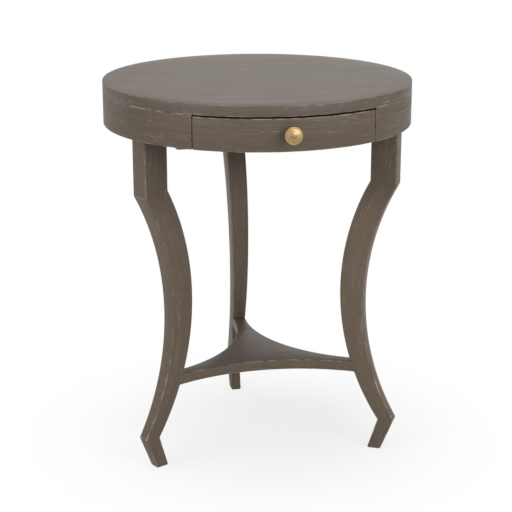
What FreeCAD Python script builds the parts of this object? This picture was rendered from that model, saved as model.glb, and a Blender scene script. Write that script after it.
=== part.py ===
"""Round side table on three swept legs, with a curved drawer and a lower shelf.

Lengths are in millimetres, +Z is up and the drawer opens towards -Y. The table is drawn
about the drum axis, and places around it are given by an azimuth: zero at the drawer and
growing towards +X. The files are written half the knob's reach further back, so that
their origin lies on the floor under the middle of the whole table, knob included.
"""
import FreeCAD, Part
import math
import os
import re
import Sketcher

doc = FreeCAD.newDocument("SideTable")
sheet = doc.addObject("Spreadsheet::Sheet", "Sizes")

# Driving sizes, in millimetres and degrees
SIZES = [
    # Round drum: slab and apron
    ("table_height", 700, "floor to the top face"),
    ("drum_radius", 280, "slab, apron and drawer front"),
    ("slab_thickness", 19, "top slab"),
    ("apron_height", 59, "apron below the slab"),
    ("apron_thickness", 14, "bent apron and drawer front"),
    ("rim_ease", 1.5, "eased arris of slab and apron"),
    # Legs, in the upright plane through the drum axis
    ("front_leg_angle", 62, "azimuth of each front leg"),
    ("back_leg_angle", 180, "azimuth of the back leg"),
    ("leg_seat_gap", 0.02, "leg's outer arrises inside the round apron"),
    ("leg_depth", 48, "straight top of the leg, along the radius"),
    ("leg_top_width", 38, "leg width down to the shoulder"),
    ("leg_foot_width", 20, "leg width at the floor"),
    ("shoulder_height", 517, "outer shoulder above the floor"),
    ("shoulder_step", 9, "inner shoulder above the outer one"),
    ("sweep_radius", 456, "both swept faces"),
    ("toe_spread", 5.7, "outer toe beyond the leg's straight outer face"),
    ("toe_height", 63, "outer toe above the floor"),
    ("toe_depth", 31, "toe along the radius"),
    ("toe_step", 2, "inner toe below the outer one"),
    ("foot_tuck", 25, "outer edge of the foot inside the toe"),
    ("foot_depth", 25, "foot along the radius"),
    # Lower shelf
    ("shelf_height", 172, "floor to the shelf's top face"),
    ("shelf_thickness", 19, "shelf board"),
    ("shelf_neck_length", 1.5, "straight end of each arm, in front of the leg"),
    ("housing_depth", 10.7, "arm inside the leg, at the shelf's top face"),
    ("shelf_front_sweep", 350, "hollow front edge"),
    ("shelf_side_sweep", 268, "hollow side edges"),
    ("housing_clearance", 0.1, "arm in its housing, all round"),
    # Drawer
    ("drawer_half_angle", 34.3, "half of the apron's opening"),
    ("drawer_side_gap", 1.5, "drawer front to apron, each end"),
    ("drawer_top_gap", 3, "drawer front to slab"),
    ("box_width_share", 0.5, "outer faces of the drawer sides, as a share of the drum"),
    ("box_side_thickness", 12, "drawer sides and back"),
    ("box_height", 44, "drawer sides"),
    ("box_back_share", 0.18, "drawer's back face behind the drum axis, as a share of the radius"),
    ("panel_thickness", 4, "drawer bottom"),
    ("panel_groove", 5, "depth of the groove for the bottom"),
    ("panel_lift", 5, "drawer bottom above the side's lower edge"),
    ("panel_clearance", 0.1, "bottom in its groove"),
    ("slide_gap", 0.3, "drawer above the runner"),
    ("guide_gap", 0.6, "drawer side to the runner's upright"),
    ("kicker_gap", 0.7, "drawer below the kicker"),
    # Runners, rails and blocks under the slab
    ("runner_drop", 8, "runner below the apron"),
    ("ledge_thickness", 12, "flat part of the runner"),
    ("ledge_share", 0.94, "outer edge of the runner, as a share of the way to the leg"),
    ("ledge_corner", 8, "rounded lower edge of the runner"),
    ("upright_width", 11.4, "upright of the runner"),
    ("upright_height", 30, "upright above the flat part"),
    ("runner_setback", 5, "runner's front end behind the drum's inner face"),
    ("rear_rail_gap", 44.6, "rear rail behind the closed drawer"),
    ("rail_width", 18, "rear rail"),
    ("front_rail_setback", 6.5, "front rail's front corners behind the drum's inner face"),
    ("kicker_width", 24, "kicker strip"),
    ("stop_length", 19, "drawer stop along the runner"),
    ("stop_height", 24, "drawer stop above the runner"),
    ("stop_gap", 0.5, "closed drawer to its stop"),
    ("opening_block_width", 24, "block behind the apron's end"),
    ("opening_block_length", 30, "that block behind the runner's front end"),
    ("leg_block_gap", 3, "block behind a leg, to the kicker"),
    ("leg_block_width", 44, "block behind a leg"),
    ("leg_block_height", 30, "block behind a leg"),
    ("cleat_depth", 24, "cleat along the radius"),
    ("cleat_width", 50, "cleat along the apron"),
    ("cleat_height", 24, "cleat below the slab"),
    ("side_cleat_angle", 90, "azimuth of the side cleats"),
    ("back_cleat_angle", 140, "azimuth of the rear cleats"),
    # Knob
    ("knob_radius", 15, "knob face"),
    ("knob_reach", 26.5, "drum face to the knob's tip"),
    ("knob_lift", 3, "knob above the middle of the drawer front"),
    ("knob_tip", 2.3, "pointed tip above the cone"),
    ("knob_tip_radius", 2, "foot of the pointed tip"),
    ("knob_cone", 3.2, "height of the cone"),
    ("knob_rim_width", 2, "rolled rim, across"),
    ("knob_rim_height", 0.5, "rolled rim above the cone's foot"),
    ("knob_rim_depth", 2.5, "outer edge of the rim"),
    ("knob_flare", 4, "underside between stem and rim"),
    ("knob_stem_radius", 5, "stem"),
    ("knob_foot_radius", 8, "foot on the drawer front"),
    ("knob_foot_thickness", 2, "foot on the drawer front"),
    # Fasteners
    ("fastener_clearance", 0.1, "fastener in its hole, all round"),
    ("bolt_radius", 3, "leg bolts"),
    ("bolt_head_radius", 6, "leg bolts"),
    ("bolt_grip", 32, "leg bolts inside the leg"),
    ("screw_radius", 2, "wood screws"),
    ("screw_head_radius", 4, "wood screws"),
    ("screw_grip", 10, "screw tips inside the slab and apron"),
    ("screw_margin", 13, "paired screws from the middle of their piece"),
    ("rear_rail_screw_share", 0.68, "outer rear rail screws, as a share of the inner radius"),
    ("front_rail_screw_share", 0.4, "front rail screws, as a share of half the rail"),
    ("runner_screw_grip", 18, "runner screws inside the rail and blocks"),
    ("shelf_dowel_radius", 4, "dowels between shelf and legs"),
    ("shelf_dowel_grip", 17, "shelf dowels inside the leg"),
    ("shelf_dowel_length", 40, "shelf dowels"),
    ("box_dowel_radius", 2.5, "dowels between drawer front and sides"),
    ("box_dowel_grip", 10, "those dowels inside the drawer front"),
    ("box_dowel_length", 30, "those dowels"),
    ("box_fastener_share", 0.23, "dowels and screws off mid height, as a share of the sides"),
    ("box_screw_length", 30, "screws between drawer sides and back"),
    ("pin_radius", 1, "pins under the drawer's back"),
    ("pin_length", 18, "pins under the drawer's back"),
    ("pin_share", 0.57, "outer pins, as a share of half the box"),
    ("knob_screw_grip", 12, "knob screw inside the knob"),
]
for row, (alias, value, meaning) in enumerate(SIZES, start=1):
    sheet.set(f"A{row}", meaning)
    sheet.set(f"B{row}", str(value))
    sheet.setAlias(f"B{row}", alias)
doc.recompute()


ALIASES = {alias for alias, _, _ in SIZES}


def dim(formula):
    """Turn a formula of size names into an expression on the sheet."""
    def on_sheet(found):
        return f"Sizes.{found[0]}" if found[0] in ALIASES else found[0]

    text = re.sub(r"(?<![\w.])[a-z_]+", on_sheet, formula)
    return f"({text})"


def value(expression):
    """Work out an expression now, as a plain number."""
    result = sheet.evalExpression(expression)
    return float(getattr(result, "Value", result))


# Levels above the floor
SLAB_UNDER = dim("table_height - slab_thickness")
APRON_UNDER = dim(f"{SLAB_UNDER} - apron_height")
LEDGE_UNDER = dim(f"{APRON_UNDER} - runner_drop")
LEDGE_TOP = dim(f"{LEDGE_UNDER} + ledge_thickness")
UPRIGHT_TOP = dim(f"{LEDGE_TOP} + upright_height")
BOX_UNDER = dim(f"{LEDGE_TOP} + slide_gap")
BOX_TOP = dim(f"{BOX_UNDER} + box_height")
BOX_MIDDLE = dim(f"{BOX_UNDER} + box_height / 2")
PANEL_UNDER = dim(f"{BOX_UNDER} + panel_lift")
BACK_UNDER = dim(f"{PANEL_UNDER} + panel_thickness")
KICKER_UNDER = dim(f"{BOX_TOP} + kicker_gap")
FRONT_HEIGHT = dim("apron_height - drawer_top_gap")
KNOB_LEVEL = dim(f"{APRON_UNDER} + {FRONT_HEIGHT} / 2 + knob_lift")
SHELF_UNDER = dim("shelf_height - shelf_thickness")
SHELF_MIDDLE = dim("shelf_height - shelf_thickness / 2")

# Distances from the drum axis
INNER_RADIUS = dim("drum_radius - apron_thickness")
LEG_OUTER = dim(f"sqrt({INNER_RADIUS}^2 - leg_top_width^2 / 4) - leg_seat_gap")
LEG_INNER = dim(f"{LEG_OUTER} - leg_depth")
CLEAT_INNER = dim(f"{INNER_RADIUS} - cleat_depth")
BOX_BACK = dim("box_back_share * drum_radius")
BOX_DEPTH = dim(f"drum_radius + {BOX_BACK}")
REAR_RAIL_FRONT = dim(f"{BOX_BACK} + rear_rail_gap")
REAR_RAIL_BACK = dim(f"{REAR_RAIL_FRONT} + rail_width")

# Distances from the middle plane
BOX_OUTER = dim("box_width_share * drum_radius")
BOX_INNER = dim(f"{BOX_OUTER} - box_side_thickness")
GUIDE_INNER = dim(f"{BOX_OUTER} + guide_gap")
GUIDE_OUTER = dim(f"{GUIDE_INNER} + upright_width")
LEG_CORNER = dim(f"{LEG_INNER} * sin(front_leg_angle) - leg_top_width / 2 * cos(front_leg_angle)")
LEDGE_REACH = dim(f"{GUIDE_OUTER} + ledge_share * ({LEG_CORNER} - {GUIDE_OUTER})")

# Ends of the runner and of the blocks, as distances from the drum axis
RUNNER_FRONT = dim(f"sqrt({INNER_RADIUS}^2 - {LEDGE_REACH}^2) - runner_setback")
FRONT_RAIL_FRONT = dim(f"sqrt({INNER_RADIUS}^2 - {GUIDE_OUTER}^2) - front_rail_setback")
FRONT_RAIL_WIDTH = dim(f"{FRONT_RAIL_FRONT} - {RUNNER_FRONT}")
OPENING_BLOCK_BACK = dim(f"{RUNNER_FRONT} - opening_block_length")
BLOCK_CORNER = dim(f"{GUIDE_OUTER} + leg_block_gap")
LEG_BLOCK_INNER = dim(f"({BLOCK_CORNER} + leg_block_width / 2 * cos(front_leg_angle)) / sin(front_leg_angle)")

# A leg's side view, as distances from the drum axis and levels
TOE_OUTER = (dim(f"{LEG_OUTER} + toe_spread"), dim("toe_height"))
TOE_INNER = (dim(f"{TOE_OUTER[0]} - toe_depth"), dim("toe_height - toe_step"))
FOOT_OUTER = (dim(f"{TOE_OUTER[0]} - foot_tuck"), "0")
FOOT_INNER = (dim(f"{FOOT_OUTER[0]} - foot_depth"), "0")
SHOULDER_OUTER = (LEG_OUTER, dim("shoulder_height"))
SHOULDER_INNER = (LEG_INNER, dim("shoulder_height + shoulder_step"))

# The leg's swept inner face at the shelf, from the centre of its arc
SWEEP_RUN = dim(f"{TOE_INNER[0]} - {SHOULDER_INNER[0]}")
SWEEP_DROP = dim(f"{SHOULDER_INNER[1]} - {TOE_INNER[1]}")
SWEEP_CHORD = f"sqrt({SWEEP_RUN}^2 + {SWEEP_DROP}^2)"
SWEEP_RISE = dim(f"sqrt(sweep_radius^2 - {SWEEP_CHORD}^2 / 4)")
SWEEP_ACROSS = dim(f"{SHOULDER_INNER[0]} + {SWEEP_RUN} / 2 + {SWEEP_RISE} * {SWEEP_DROP} / {SWEEP_CHORD}")
SWEEP_LEVEL = dim(f"{TOE_INNER[1]} + {SWEEP_DROP} / 2 + {SWEEP_RISE} * {SWEEP_RUN} / {SWEEP_CHORD}")
LEG_FACE = dim(f"{SWEEP_ACROSS} - sqrt(sweep_radius^2 - (shelf_height - {SWEEP_LEVEL})^2)")
SHELF_NECK = dim(f"{LEG_FACE} - shelf_neck_length")
SHELF_END = dim(f"{LEG_FACE} + housing_depth")
LEG_TAPER = dim("(leg_top_width - leg_foot_width) / shoulder_height")
SHELF_ARM_WIDTH = dim(f"leg_foot_width + {LEG_TAPER} * {SHELF_MIDDLE}")

# Azimuths of the legs and of the cleats
LEG_AZIMUTHS = {
    "front_left": dim("-1 * front_leg_angle"),
    "front_right": dim("front_leg_angle"),
    "back": dim("back_leg_angle"),
}
CLEAT_AZIMUTHS = {
    "left": dim("-1 * side_cleat_angle"),
    "right": dim("side_cleat_angle"),
    "back_left": dim("-1 * back_cleat_angle"),
    "back_right": dim("back_cleat_angle"),
}

nodes = {}


def keep(name, piece):
    """Give a finished piece its own name."""
    piece.Label = name
    nodes[name] = piece
    return piece


def add_body(name):
    body = doc.addObject("PartDesign::Body", name)
    body.Label = name
    return body


def add_sketch(body, name, role):
    """Put a sketch on one of the body's own origin planes."""
    sketch = body.newObject("Sketcher::SketchObject", name)
    plane = next(item for item in body.Origin.OriginFeatures if item.Role == role)
    sketch.AttachmentSupport = (plane, [""])
    sketch.MapMode = "FlatFace"
    return sketch


def bind(sketch, kind, *places, expression):
    """Add one sized constraint and tie it to its expression."""
    index = sketch.addConstraint(Sketcher.Constraint(kind, *places, value(expression)))
    sketch.setExpression(f"Constraints[{index}]", expression)


def draw_circle(sketch, radius):
    """A circle about the sketch's origin."""
    circle = Part.Circle(FreeCAD.Vector(0, 0, 0), FreeCAD.Vector(0, 0, 1), value(radius))
    edge = sketch.addGeometry(circle)
    sketch.addConstraint(Sketcher.Constraint("Coincident", edge, 3, -1, 1))
    bind(sketch, "Radius", edge, expression=radius)


def draw_arc(start, end, radius, turn):
    """An arc of under half a circle between two points: turn 1 is anticlockwise."""
    chord = end - start
    offset = math.sqrt(radius ** 2 - chord.Length ** 2 / 4)
    normal = FreeCAD.Vector(-chord.y, chord.x, 0) / chord.Length
    centre = (start + end) / 2 + normal * offset * turn
    first, last = (start, end) if turn > 0 else (end, start)
    angles = [math.atan2(point.y - centre.y, point.x - centre.x) for point in (first, last)]
    circle = Part.Circle(centre, FreeCAD.Vector(0, 0, 1), radius)
    return Part.ArcOfCircle(circle, angles[0], angles[1])


def draw_outline(sketch, corners, curves=None):
    """A closed outline through corners, given as pairs of expressions.

    A side is straight unless curves gives its radius and its turn.
    """
    curves = curves or {}
    points = [FreeCAD.Vector(value(across), value(along), 0) for across, along in corners]
    ends = []
    for index, start in enumerate(points):
        end = points[(index + 1) % len(points)]
        if index in curves:
            radius, turn = curves[index]
            edge = sketch.addGeometry(draw_arc(start, end, value(radius), turn))
            ends.append((edge, 1, 2) if turn > 0 else (edge, 2, 1))
            bind(sketch, "Radius", edge, expression=radius)
        else:
            ends.append((sketch.addGeometry(Part.LineSegment(start, end)), 1, 2))
    for index, (edge, _, last) in enumerate(ends):
        following, first, _ = ends[(index + 1) % len(ends)]
        sketch.addConstraint(Sketcher.Constraint("Coincident", edge, last, following, first))
    for (edge, first, _), (across, along) in zip(ends, corners):
        bind(sketch, "DistanceX", -1, 1, edge, first, expression=across)
        bind(sketch, "DistanceY", -1, 1, edge, first, expression=along)


def pad(body, sketch, length, middle=False):
    feature = body.newObject("PartDesign::Pad", sketch.Name + "_pad")
    feature.Profile = sketch
    feature.setExpression("Length", length)
    if middle:
        feature.SideType = "Symmetric"
    doc.recompute()
    return feature


def pocket(body, sketch, length):
    """Cut a sketch through the body, as far on one side of it as on the other."""
    before = body.Shape.Volume
    feature = body.newObject("PartDesign::Pocket", sketch.Name + "_pocket")
    feature.Profile = sketch
    feature.SideType = "Symmetric"
    feature.setExpression("Length", length)
    doc.recompute()
    if body.Shape.Volume >= before:
        raise ValueError(f"{feature.Name} cuts nothing")
    return feature


def revolve(body, sketch, angle=None):
    """Turn a sketch about its own upright axis."""
    feature = body.newObject("PartDesign::Revolution", sketch.Name + "_turn")
    feature.Profile = sketch
    feature.ReferenceAxis = (sketch, ["V_Axis"])
    if angle:
        feature.setExpression("Angle", angle)
    doc.recompute()
    return feature


def ease(body, feature, radius, chosen):
    """Round the chosen edges of the body's last feature."""
    edges = feature.Shape.Edges
    names = [f"Edge{index}" for index, edge in enumerate(edges, start=1) if chosen(edge)]
    fillet = body.newObject("PartDesign::Fillet", feature.Name + "_ease")
    fillet.Base = (feature, names)
    fillet.setExpression("Radius", radius)
    doc.recompute()
    return fillet


def on_face_radius(edge):
    """Tell whether an edge lies on the drum's outer face."""
    reach = value(dim("drum_radius"))
    points = edge.discretize(3)
    return all(abs(math.hypot(point.x, point.y) - reach) < reach / 1e6 for point in points)


def turn_to(body, azimuth, level=None):
    """Turn a piece drawn along +X to its azimuth and lift it to its level."""
    body.Placement = FreeCAD.Placement(FreeCAD.Vector(0, 0, 0), FreeCAD.Vector(0, 0, 1), 1)
    body.setExpression("Placement.Rotation.Angle", f"{azimuth} - 90")
    if level:
        body.setExpression("Placement.Base.z", level)


def add_box(name, low, size):
    """A plain box from its low corner and its three sizes."""
    box = doc.addObject("Part::Box", name)
    for side, expression in zip(("Length", "Width", "Height"), size):
        box.setExpression(side, expression)
    for axis, expression in zip("xyz", low):
        box.setExpression(f"Placement.Base.{axis}", expression)
    return box


def add_drum(name, radius, level, height):
    """A round bar about the drum axis."""
    drum = doc.addObject("Part::Cylinder", name)
    drum.setExpression("Radius", radius)
    drum.setExpression("Height", height)
    drum.setExpression("Placement.Base.z", level)
    return drum


def shared_by(name, first, second):
    common = doc.addObject("Part::MultiCommon", name)
    common.Shapes = [first, second]
    return common


def cut(name, base, tool):
    result = doc.addObject("Part::Cut", name)
    result.Base = base
    result.Tool = tool
    return result


def radial_block(name, azimuth, inner, outer, width, level, height):
    """A block that points away from the drum axis."""
    body = add_body(name)
    sketch = add_sketch(body, name + "_plan", "XY_Plane")
    right, left = dim(f"{width} / -2"), dim(f"{width} / 2")
    corners = [(inner, right), (outer, right), (outer, left), (inner, left)]
    draw_outline(sketch, corners)
    pad(body, sketch, height)
    turn_to(body, azimuth, level)
    return body


def on_both_sides(low, size):
    """Give the low corner of a box on the left and on the right of the middle plane."""
    left = (dim(f"-1 * ({low[0]} + {size[0]})"), low[1], low[2])
    return {"left": left, "right": low}


# Fasteners: each group is made once as it is, and once grown by its clearance for the holes
def fastener(length, radius, head_radius, grow):
    """A bar along +Z with a countersunk head at its start."""
    head = (head_radius - radius) + grow
    bar = Part.makeCylinder(radius + grow, length + 2 * grow, FreeCAD.Vector(0, 0, -grow))
    if head_radius <= radius:
        return bar
    cone = Part.makeCone(head_radius + grow, radius + grow, head, FreeCAD.Vector(0, 0, -grow))
    return bar.fuse(cone).removeSplitter()


def along(place, direction):
    """The placement that stands +Z along a direction, at a place."""
    turn = FreeCAD.Rotation(FreeCAD.Vector(0, 0, 1), FreeCAD.Vector(*direction))
    return FreeCAD.Placement(FreeCAD.Vector(*place), turn)


def polar(azimuth, reach, aside, level):
    """A place by azimuth, distance from the axis, distance aside and level."""
    angle = math.radians(azimuth)
    across = reach * math.sin(angle) + aside * math.cos(angle)
    forward = -reach * math.cos(angle) + aside * math.sin(angle)
    return across, forward, level


def outward(azimuth):
    angle = math.radians(azimuth)
    return math.sin(angle), -math.cos(angle), 0


def fastener_sets():
    """List every group of fasteners: name, body, length, radii and placements."""
    get = {alias: value(dim(alias)) for alias, _, _ in SIZES}
    up = (0, 0, 1)
    under = value(SLAB_UNDER)
    mirrored = (-1, 1)
    screw = (get["screw_radius"], get["screw_head_radius"])
    tip = under + get["screw_grip"]
    legs = [value(azimuth) for azimuth in LEG_AZIMUTHS.values()]
    cleats = [value(azimuth) for azimuth in CLEAT_AZIMUTHS.values()]
    sets = []

    block_under = under - get["leg_block_height"]
    block_middle = under - get["leg_block_height"] / 2
    block_inner = value(LEG_BLOCK_INNER)
    block_depth = value(LEG_INNER) - block_inner
    bolt_length = block_depth + get["bolt_grip"]
    bolts = [along(polar(leg, block_inner, 0, block_middle), outward(leg)) for leg in legs]
    bolt = (get["bolt_radius"], get["bolt_head_radius"])
    sets.append(("leg_bolts", "table", bolt_length, *bolt, bolts))

    reach = block_inner + block_depth / 2
    places = [along(polar(leg, reach, side * get["screw_margin"], block_under), up)
              for leg in legs for side in mirrored]
    sets.append(("leg_block_screws", "table", tip - block_under, *screw, places))

    cleat_inner = value(CLEAT_INNER)
    cleat_under = under - get["cleat_height"]
    cleat_middle = under - get["cleat_height"] / 2
    reach = cleat_inner + get["cleat_depth"] / 2
    places = [along(polar(spot, reach, get["screw_margin"], cleat_under), up) for spot in cleats]
    sets.append(("cleat_slab_screws", "table", tip - cleat_under, *screw, places))
    places = [along(polar(spot, cleat_inner, -get["screw_margin"], cleat_middle), outward(spot))
              for spot in cleats]
    length = get["cleat_depth"] + get["screw_grip"]
    sets.append(("cleat_apron_screws", "table", length, *screw, places))

    rail_under = value(UPRIGHT_TOP)
    rail_middle = value(REAR_RAIL_FRONT) + get["rail_width"] / 2
    aside = get["rear_rail_screw_share"] * value(INNER_RADIUS)
    places = [along((side, rail_middle, rail_under), up) for side in (-aside, 0, aside)]
    sets.append(("rear_rail_screws", "table", tip - rail_under, *screw, places))
    kicker_under = value(KICKER_UNDER)
    front_middle = -(value(FRONT_RAIL_FRONT) + value(RUNNER_FRONT)) / 2
    aside = get["front_rail_screw_share"] * value(GUIDE_OUTER)
    places = [along((side * aside, front_middle, kicker_under), up) for side in mirrored]
    sets.append(("front_rail_screws", "table", tip - kicker_under, *screw, places))
    beside = (value(GUIDE_INNER) + value(GUIDE_OUTER)) / 2
    front_end = get["screw_margin"] - value(RUNNER_FRONT)
    kicker_ends = (front_end, value(REAR_RAIL_FRONT) - get["screw_margin"])
    places = [along((side * beside, end, kicker_under), up) for side in mirrored for end in kicker_ends]
    sets.append(("kicker_screws", "table", tip - kicker_under, *screw, places))

    ledge_under = value(LEDGE_UNDER)
    length = rail_under - ledge_under + get["runner_screw_grip"]
    places = [along((side * beside, rail_middle, ledge_under), up) for side in mirrored]
    sets.append(("runner_rear_screws", "table", length, *screw, places))
    aside = (value(GUIDE_OUTER) + value(LEDGE_REACH)) / 2
    length = get["ledge_thickness"] + get["runner_screw_grip"]
    places = [along((side * aside, front_end, ledge_under), up) for side in mirrored]
    sets.append(("runner_front_screws", "table", length, *screw, places))

    dowel = get["shelf_dowel_radius"]
    reach = value(SHELF_END) + get["shelf_dowel_grip"] - get["shelf_dowel_length"]
    places = [along(polar(leg, reach, 0, value(SHELF_MIDDLE)), outward(leg)) for leg in legs]
    sets.append(("shelf_dowels", "table", get["shelf_dowel_length"], dowel, dowel, places))

    dowel = get["box_dowel_radius"]
    middle = value(BOX_MIDDLE)
    apart = get["box_fastener_share"] * get["box_height"]
    levels = [middle + side * apart for side in mirrored]
    box_outer = value(BOX_OUTER)
    side_x = box_outer - get["box_side_thickness"] / 2
    joint_y = -math.sqrt(value(INNER_RADIUS) ** 2 - side_x ** 2)
    start_y = joint_y + get["box_dowel_length"] - get["box_dowel_grip"]
    places = [along((side * side_x, start_y, level), (0, -1, 0)) for side in mirrored for level in levels]
    sets.append(("drawer_dowels", "drawer", get["box_dowel_length"], dowel, dowel, places))
    back_y = value(BOX_BACK) - get["box_side_thickness"] / 2
    places = [along((side * box_outer, back_y, level), (-side, 0, 0))
              for side in mirrored for level in levels]
    sets.append(("drawer_back_screws", "drawer", get["box_screw_length"], *screw, places))
    pin = get["pin_radius"]
    aside = get["pin_share"] * box_outer
    places = [along((side, back_y, value(PANEL_UNDER)), up) for side in (-aside, 0, aside)]
    sets.append(("drawer_bottom_pins", "drawer", get["pin_length"], pin, pin, places))
    length = get["apron_thickness"] + get["knob_screw_grip"]
    places = [along((0, -value(INNER_RADIUS), value(KNOB_LEVEL)), (0, -1, 0))]
    sets.append(("knob_screw", "drawer", length, *screw, places))
    return sets


grow = value(dim("fastener_clearance"))
holes = {"table": [], "drawer": []}
for name, owner, length, radius, head, placements in fastener_sets():
    solids = []
    for placement in placements:
        solid = fastener(length, radius, head, 0)
        solid.Placement = placement
        solids.append(solid)
        hole = fastener(length, radius, head, grow)
        hole.Placement = placement
        holes[owner].append(hole)
    group = doc.addObject("Part::Feature", name)
    group.Shape = Part.makeCompound(solids)
    keep(name, group)
drills = {}
for owner, cutters in holes.items():
    drills[owner] = doc.addObject("Part::Feature", owner + "_holes")
    drills[owner].Shape = Part.makeCompound(cutters)


def drilled(name, blank, owner="table"):
    """Finish a piece by drilling every fastener's hole that meets it."""
    return keep(name, cut(name, blank, drills[owner]))


# Round top slab
slab = add_body("slab_blank")
slab_plan = add_sketch(slab, "slab_plan", "XY_Plane")
draw_circle(slab_plan, dim("drum_radius"))
slab_pad = pad(slab, slab_plan, dim("slab_thickness"))
ease(slab, slab_pad, dim("rim_ease"), lambda edge: isinstance(edge.Curve, Part.Circle))
slab.setExpression("Placement.Base.z", SLAB_UNDER)
drilled("top_panel", slab)

# Bent apron, open at the drawer, and the drawer front cut from the same ring
def ring_piece(name, height, angle, start):
    """A stretch of the drum wall, from its start azimuth over an angle."""
    body = add_body(name)
    section = add_sketch(body, name + "_section", "XZ_Plane")
    corners = [(INNER_RADIUS, "0"), (dim("drum_radius"), "0"),
               (dim("drum_radius"), height), (INNER_RADIUS, height)]
    draw_outline(section, corners)
    turned = revolve(body, section, angle)
    ease(body, turned, dim("rim_ease"), on_face_radius)
    turn_to(body, start, APRON_UNDER)
    return body


apron = ring_piece("apron_blank", dim("apron_height"), dim("360 - 2 * drawer_half_angle"),
                   dim("drawer_half_angle"))
drilled("apron_ring", apron)
FRONT_HALF_ANGLE = dim("drawer_half_angle - drawer_side_gap / drum_radius * 180 / pi")
front = ring_piece("front_blank", FRONT_HEIGHT, dim(f"2 * {FRONT_HALF_ANGLE}"),
                   dim(f"-1 * {FRONT_HALF_ANGLE}"))


# Swept legs
def swept_leg(name, azimuth):
    """One leg: its side view, tapered across its width and notched for the shelf."""
    body = add_body(name)
    side = add_sketch(body, name + "_side", "XZ_Plane")
    corners = [(LEG_OUTER, SLAB_UNDER), SHOULDER_OUTER, TOE_OUTER, FOOT_OUTER,
               FOOT_INNER, TOE_INNER, SHOULDER_INNER, (LEG_INNER, SLAB_UNDER)]
    curves = {1: (dim("sweep_radius"), 1), 5: (dim("sweep_radius"), -1)}
    draw_outline(side, corners, curves)
    pad(body, side, dim("leg_top_width"), middle=True)
    taper = add_sketch(body, name + "_taper", "YZ_Plane")
    top, foot = dim("leg_top_width / 2"), dim("leg_foot_width / 2")
    clear = dim("leg_top_width")
    for sign in ("", "-"):
        wedge = [(sign + top, dim("shoulder_height")), (sign + foot, "0"),
                 (sign + clear, "0"), (sign + clear, dim("shoulder_height"))]
        draw_outline(taper, wedge)
    pocket(body, taper, dim("4 * drum_radius"))
    notch = add_sketch(body, name + "_notch", "XZ_Plane")
    low = dim(f"{SHELF_UNDER} - housing_clearance")
    high = dim("shelf_height + housing_clearance")
    deep = dim(f"{SHELF_END} + housing_clearance")
    draw_outline(notch, [("0", low), (deep, low), (deep, high), ("0", high)])
    pocket(body, notch, dim("2 * leg_top_width"))
    turn_to(body, azimuth)
    return body


for place, azimuth in LEG_AZIMUTHS.items():
    drilled(f"leg_{place}", swept_leg(f"leg_{place}_blank", azimuth))
    block = radial_block(f"block_{place}", azimuth, LEG_BLOCK_INNER, LEG_INNER, dim("leg_block_width"),
                         dim(f"{SLAB_UNDER} - leg_block_height"), dim("leg_block_height"))
    drilled(f"leg_block_{place}", block)


# Lower shelf: three arms with hollow edges between them
def shelf_corner(azimuth, reach, side):
    """A corner of an arm: side is -1 or 1, half the arm's width from its middle line."""
    half = f"{side} * {SHELF_ARM_WIDTH} / 2"
    across = dim(f"{reach} * sin({azimuth}) + {half} * cos({azimuth})")
    forward = dim(f"{half} * sin({azimuth}) - {reach} * cos({azimuth})")
    return across, forward


shelf = add_body("shelf_blank")
shelf_plan = add_sketch(shelf, "shelf_plan", "XY_Plane")
shelf_corners = []
for place in ("front_right", "back", "front_left"):
    for reach, side in ((SHELF_NECK, -1), (SHELF_END, -1), (SHELF_END, 1), (SHELF_NECK, 1)):
        shelf_corners.append(shelf_corner(LEG_AZIMUTHS[place], reach, side))
side_sweep, front_sweep = (dim("shelf_side_sweep"), -1), (dim("shelf_front_sweep"), -1)
draw_outline(shelf_plan, shelf_corners, {3: side_sweep, 7: side_sweep, 11: front_sweep})
pad(shelf, shelf_plan, dim("shelf_thickness"))
shelf.setExpression("Placement.Base.z", SHELF_UNDER)
drilled("lower_shelf", shelf)

# Cleats between the apron and the slab
drum_space = add_drum("drum_space", INNER_RADIUS, "0", dim("table_height"))
for place, azimuth in CLEAT_AZIMUTHS.items():
    cleat = radial_block(f"cleat_{place}", azimuth, CLEAT_INNER, dim("drum_radius"), dim("cleat_width"),
                         dim(f"{SLAB_UNDER} - cleat_height"), dim("cleat_height"))
    drilled(f"apron_cleat_{place}", shared_by(f"cleat_{place}_fitted", cleat, drum_space))

# Rails under the slab
rear_rail = add_box("rear_rail_blank", (dim("-1 * drum_radius"), REAR_RAIL_FRONT, UPRIGHT_TOP),
                    (dim("2 * drum_radius"), dim("rail_width"), dim(f"{SLAB_UNDER} - {UPRIGHT_TOP}")))
drilled("rear_rail", shared_by("rear_rail_fitted", rear_rail, drum_space))
front_rail_low = (dim(f"-1 * {GUIDE_OUTER}"), dim(f"-1 * {FRONT_RAIL_FRONT}"), KICKER_UNDER)
front_rail = add_box("front_rail_blank", front_rail_low,
                     (dim(f"2 * {GUIDE_OUTER}"), FRONT_RAIL_WIDTH, dim(f"{SLAB_UNDER} - {KICKER_UNDER}")))
drilled("front_rail", front_rail)

# Runners, kickers, stops and opening blocks on both sides of the drawer
RAIL_SPAN = dim(f"{RUNNER_FRONT} + {REAR_RAIL_FRONT}")


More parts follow.
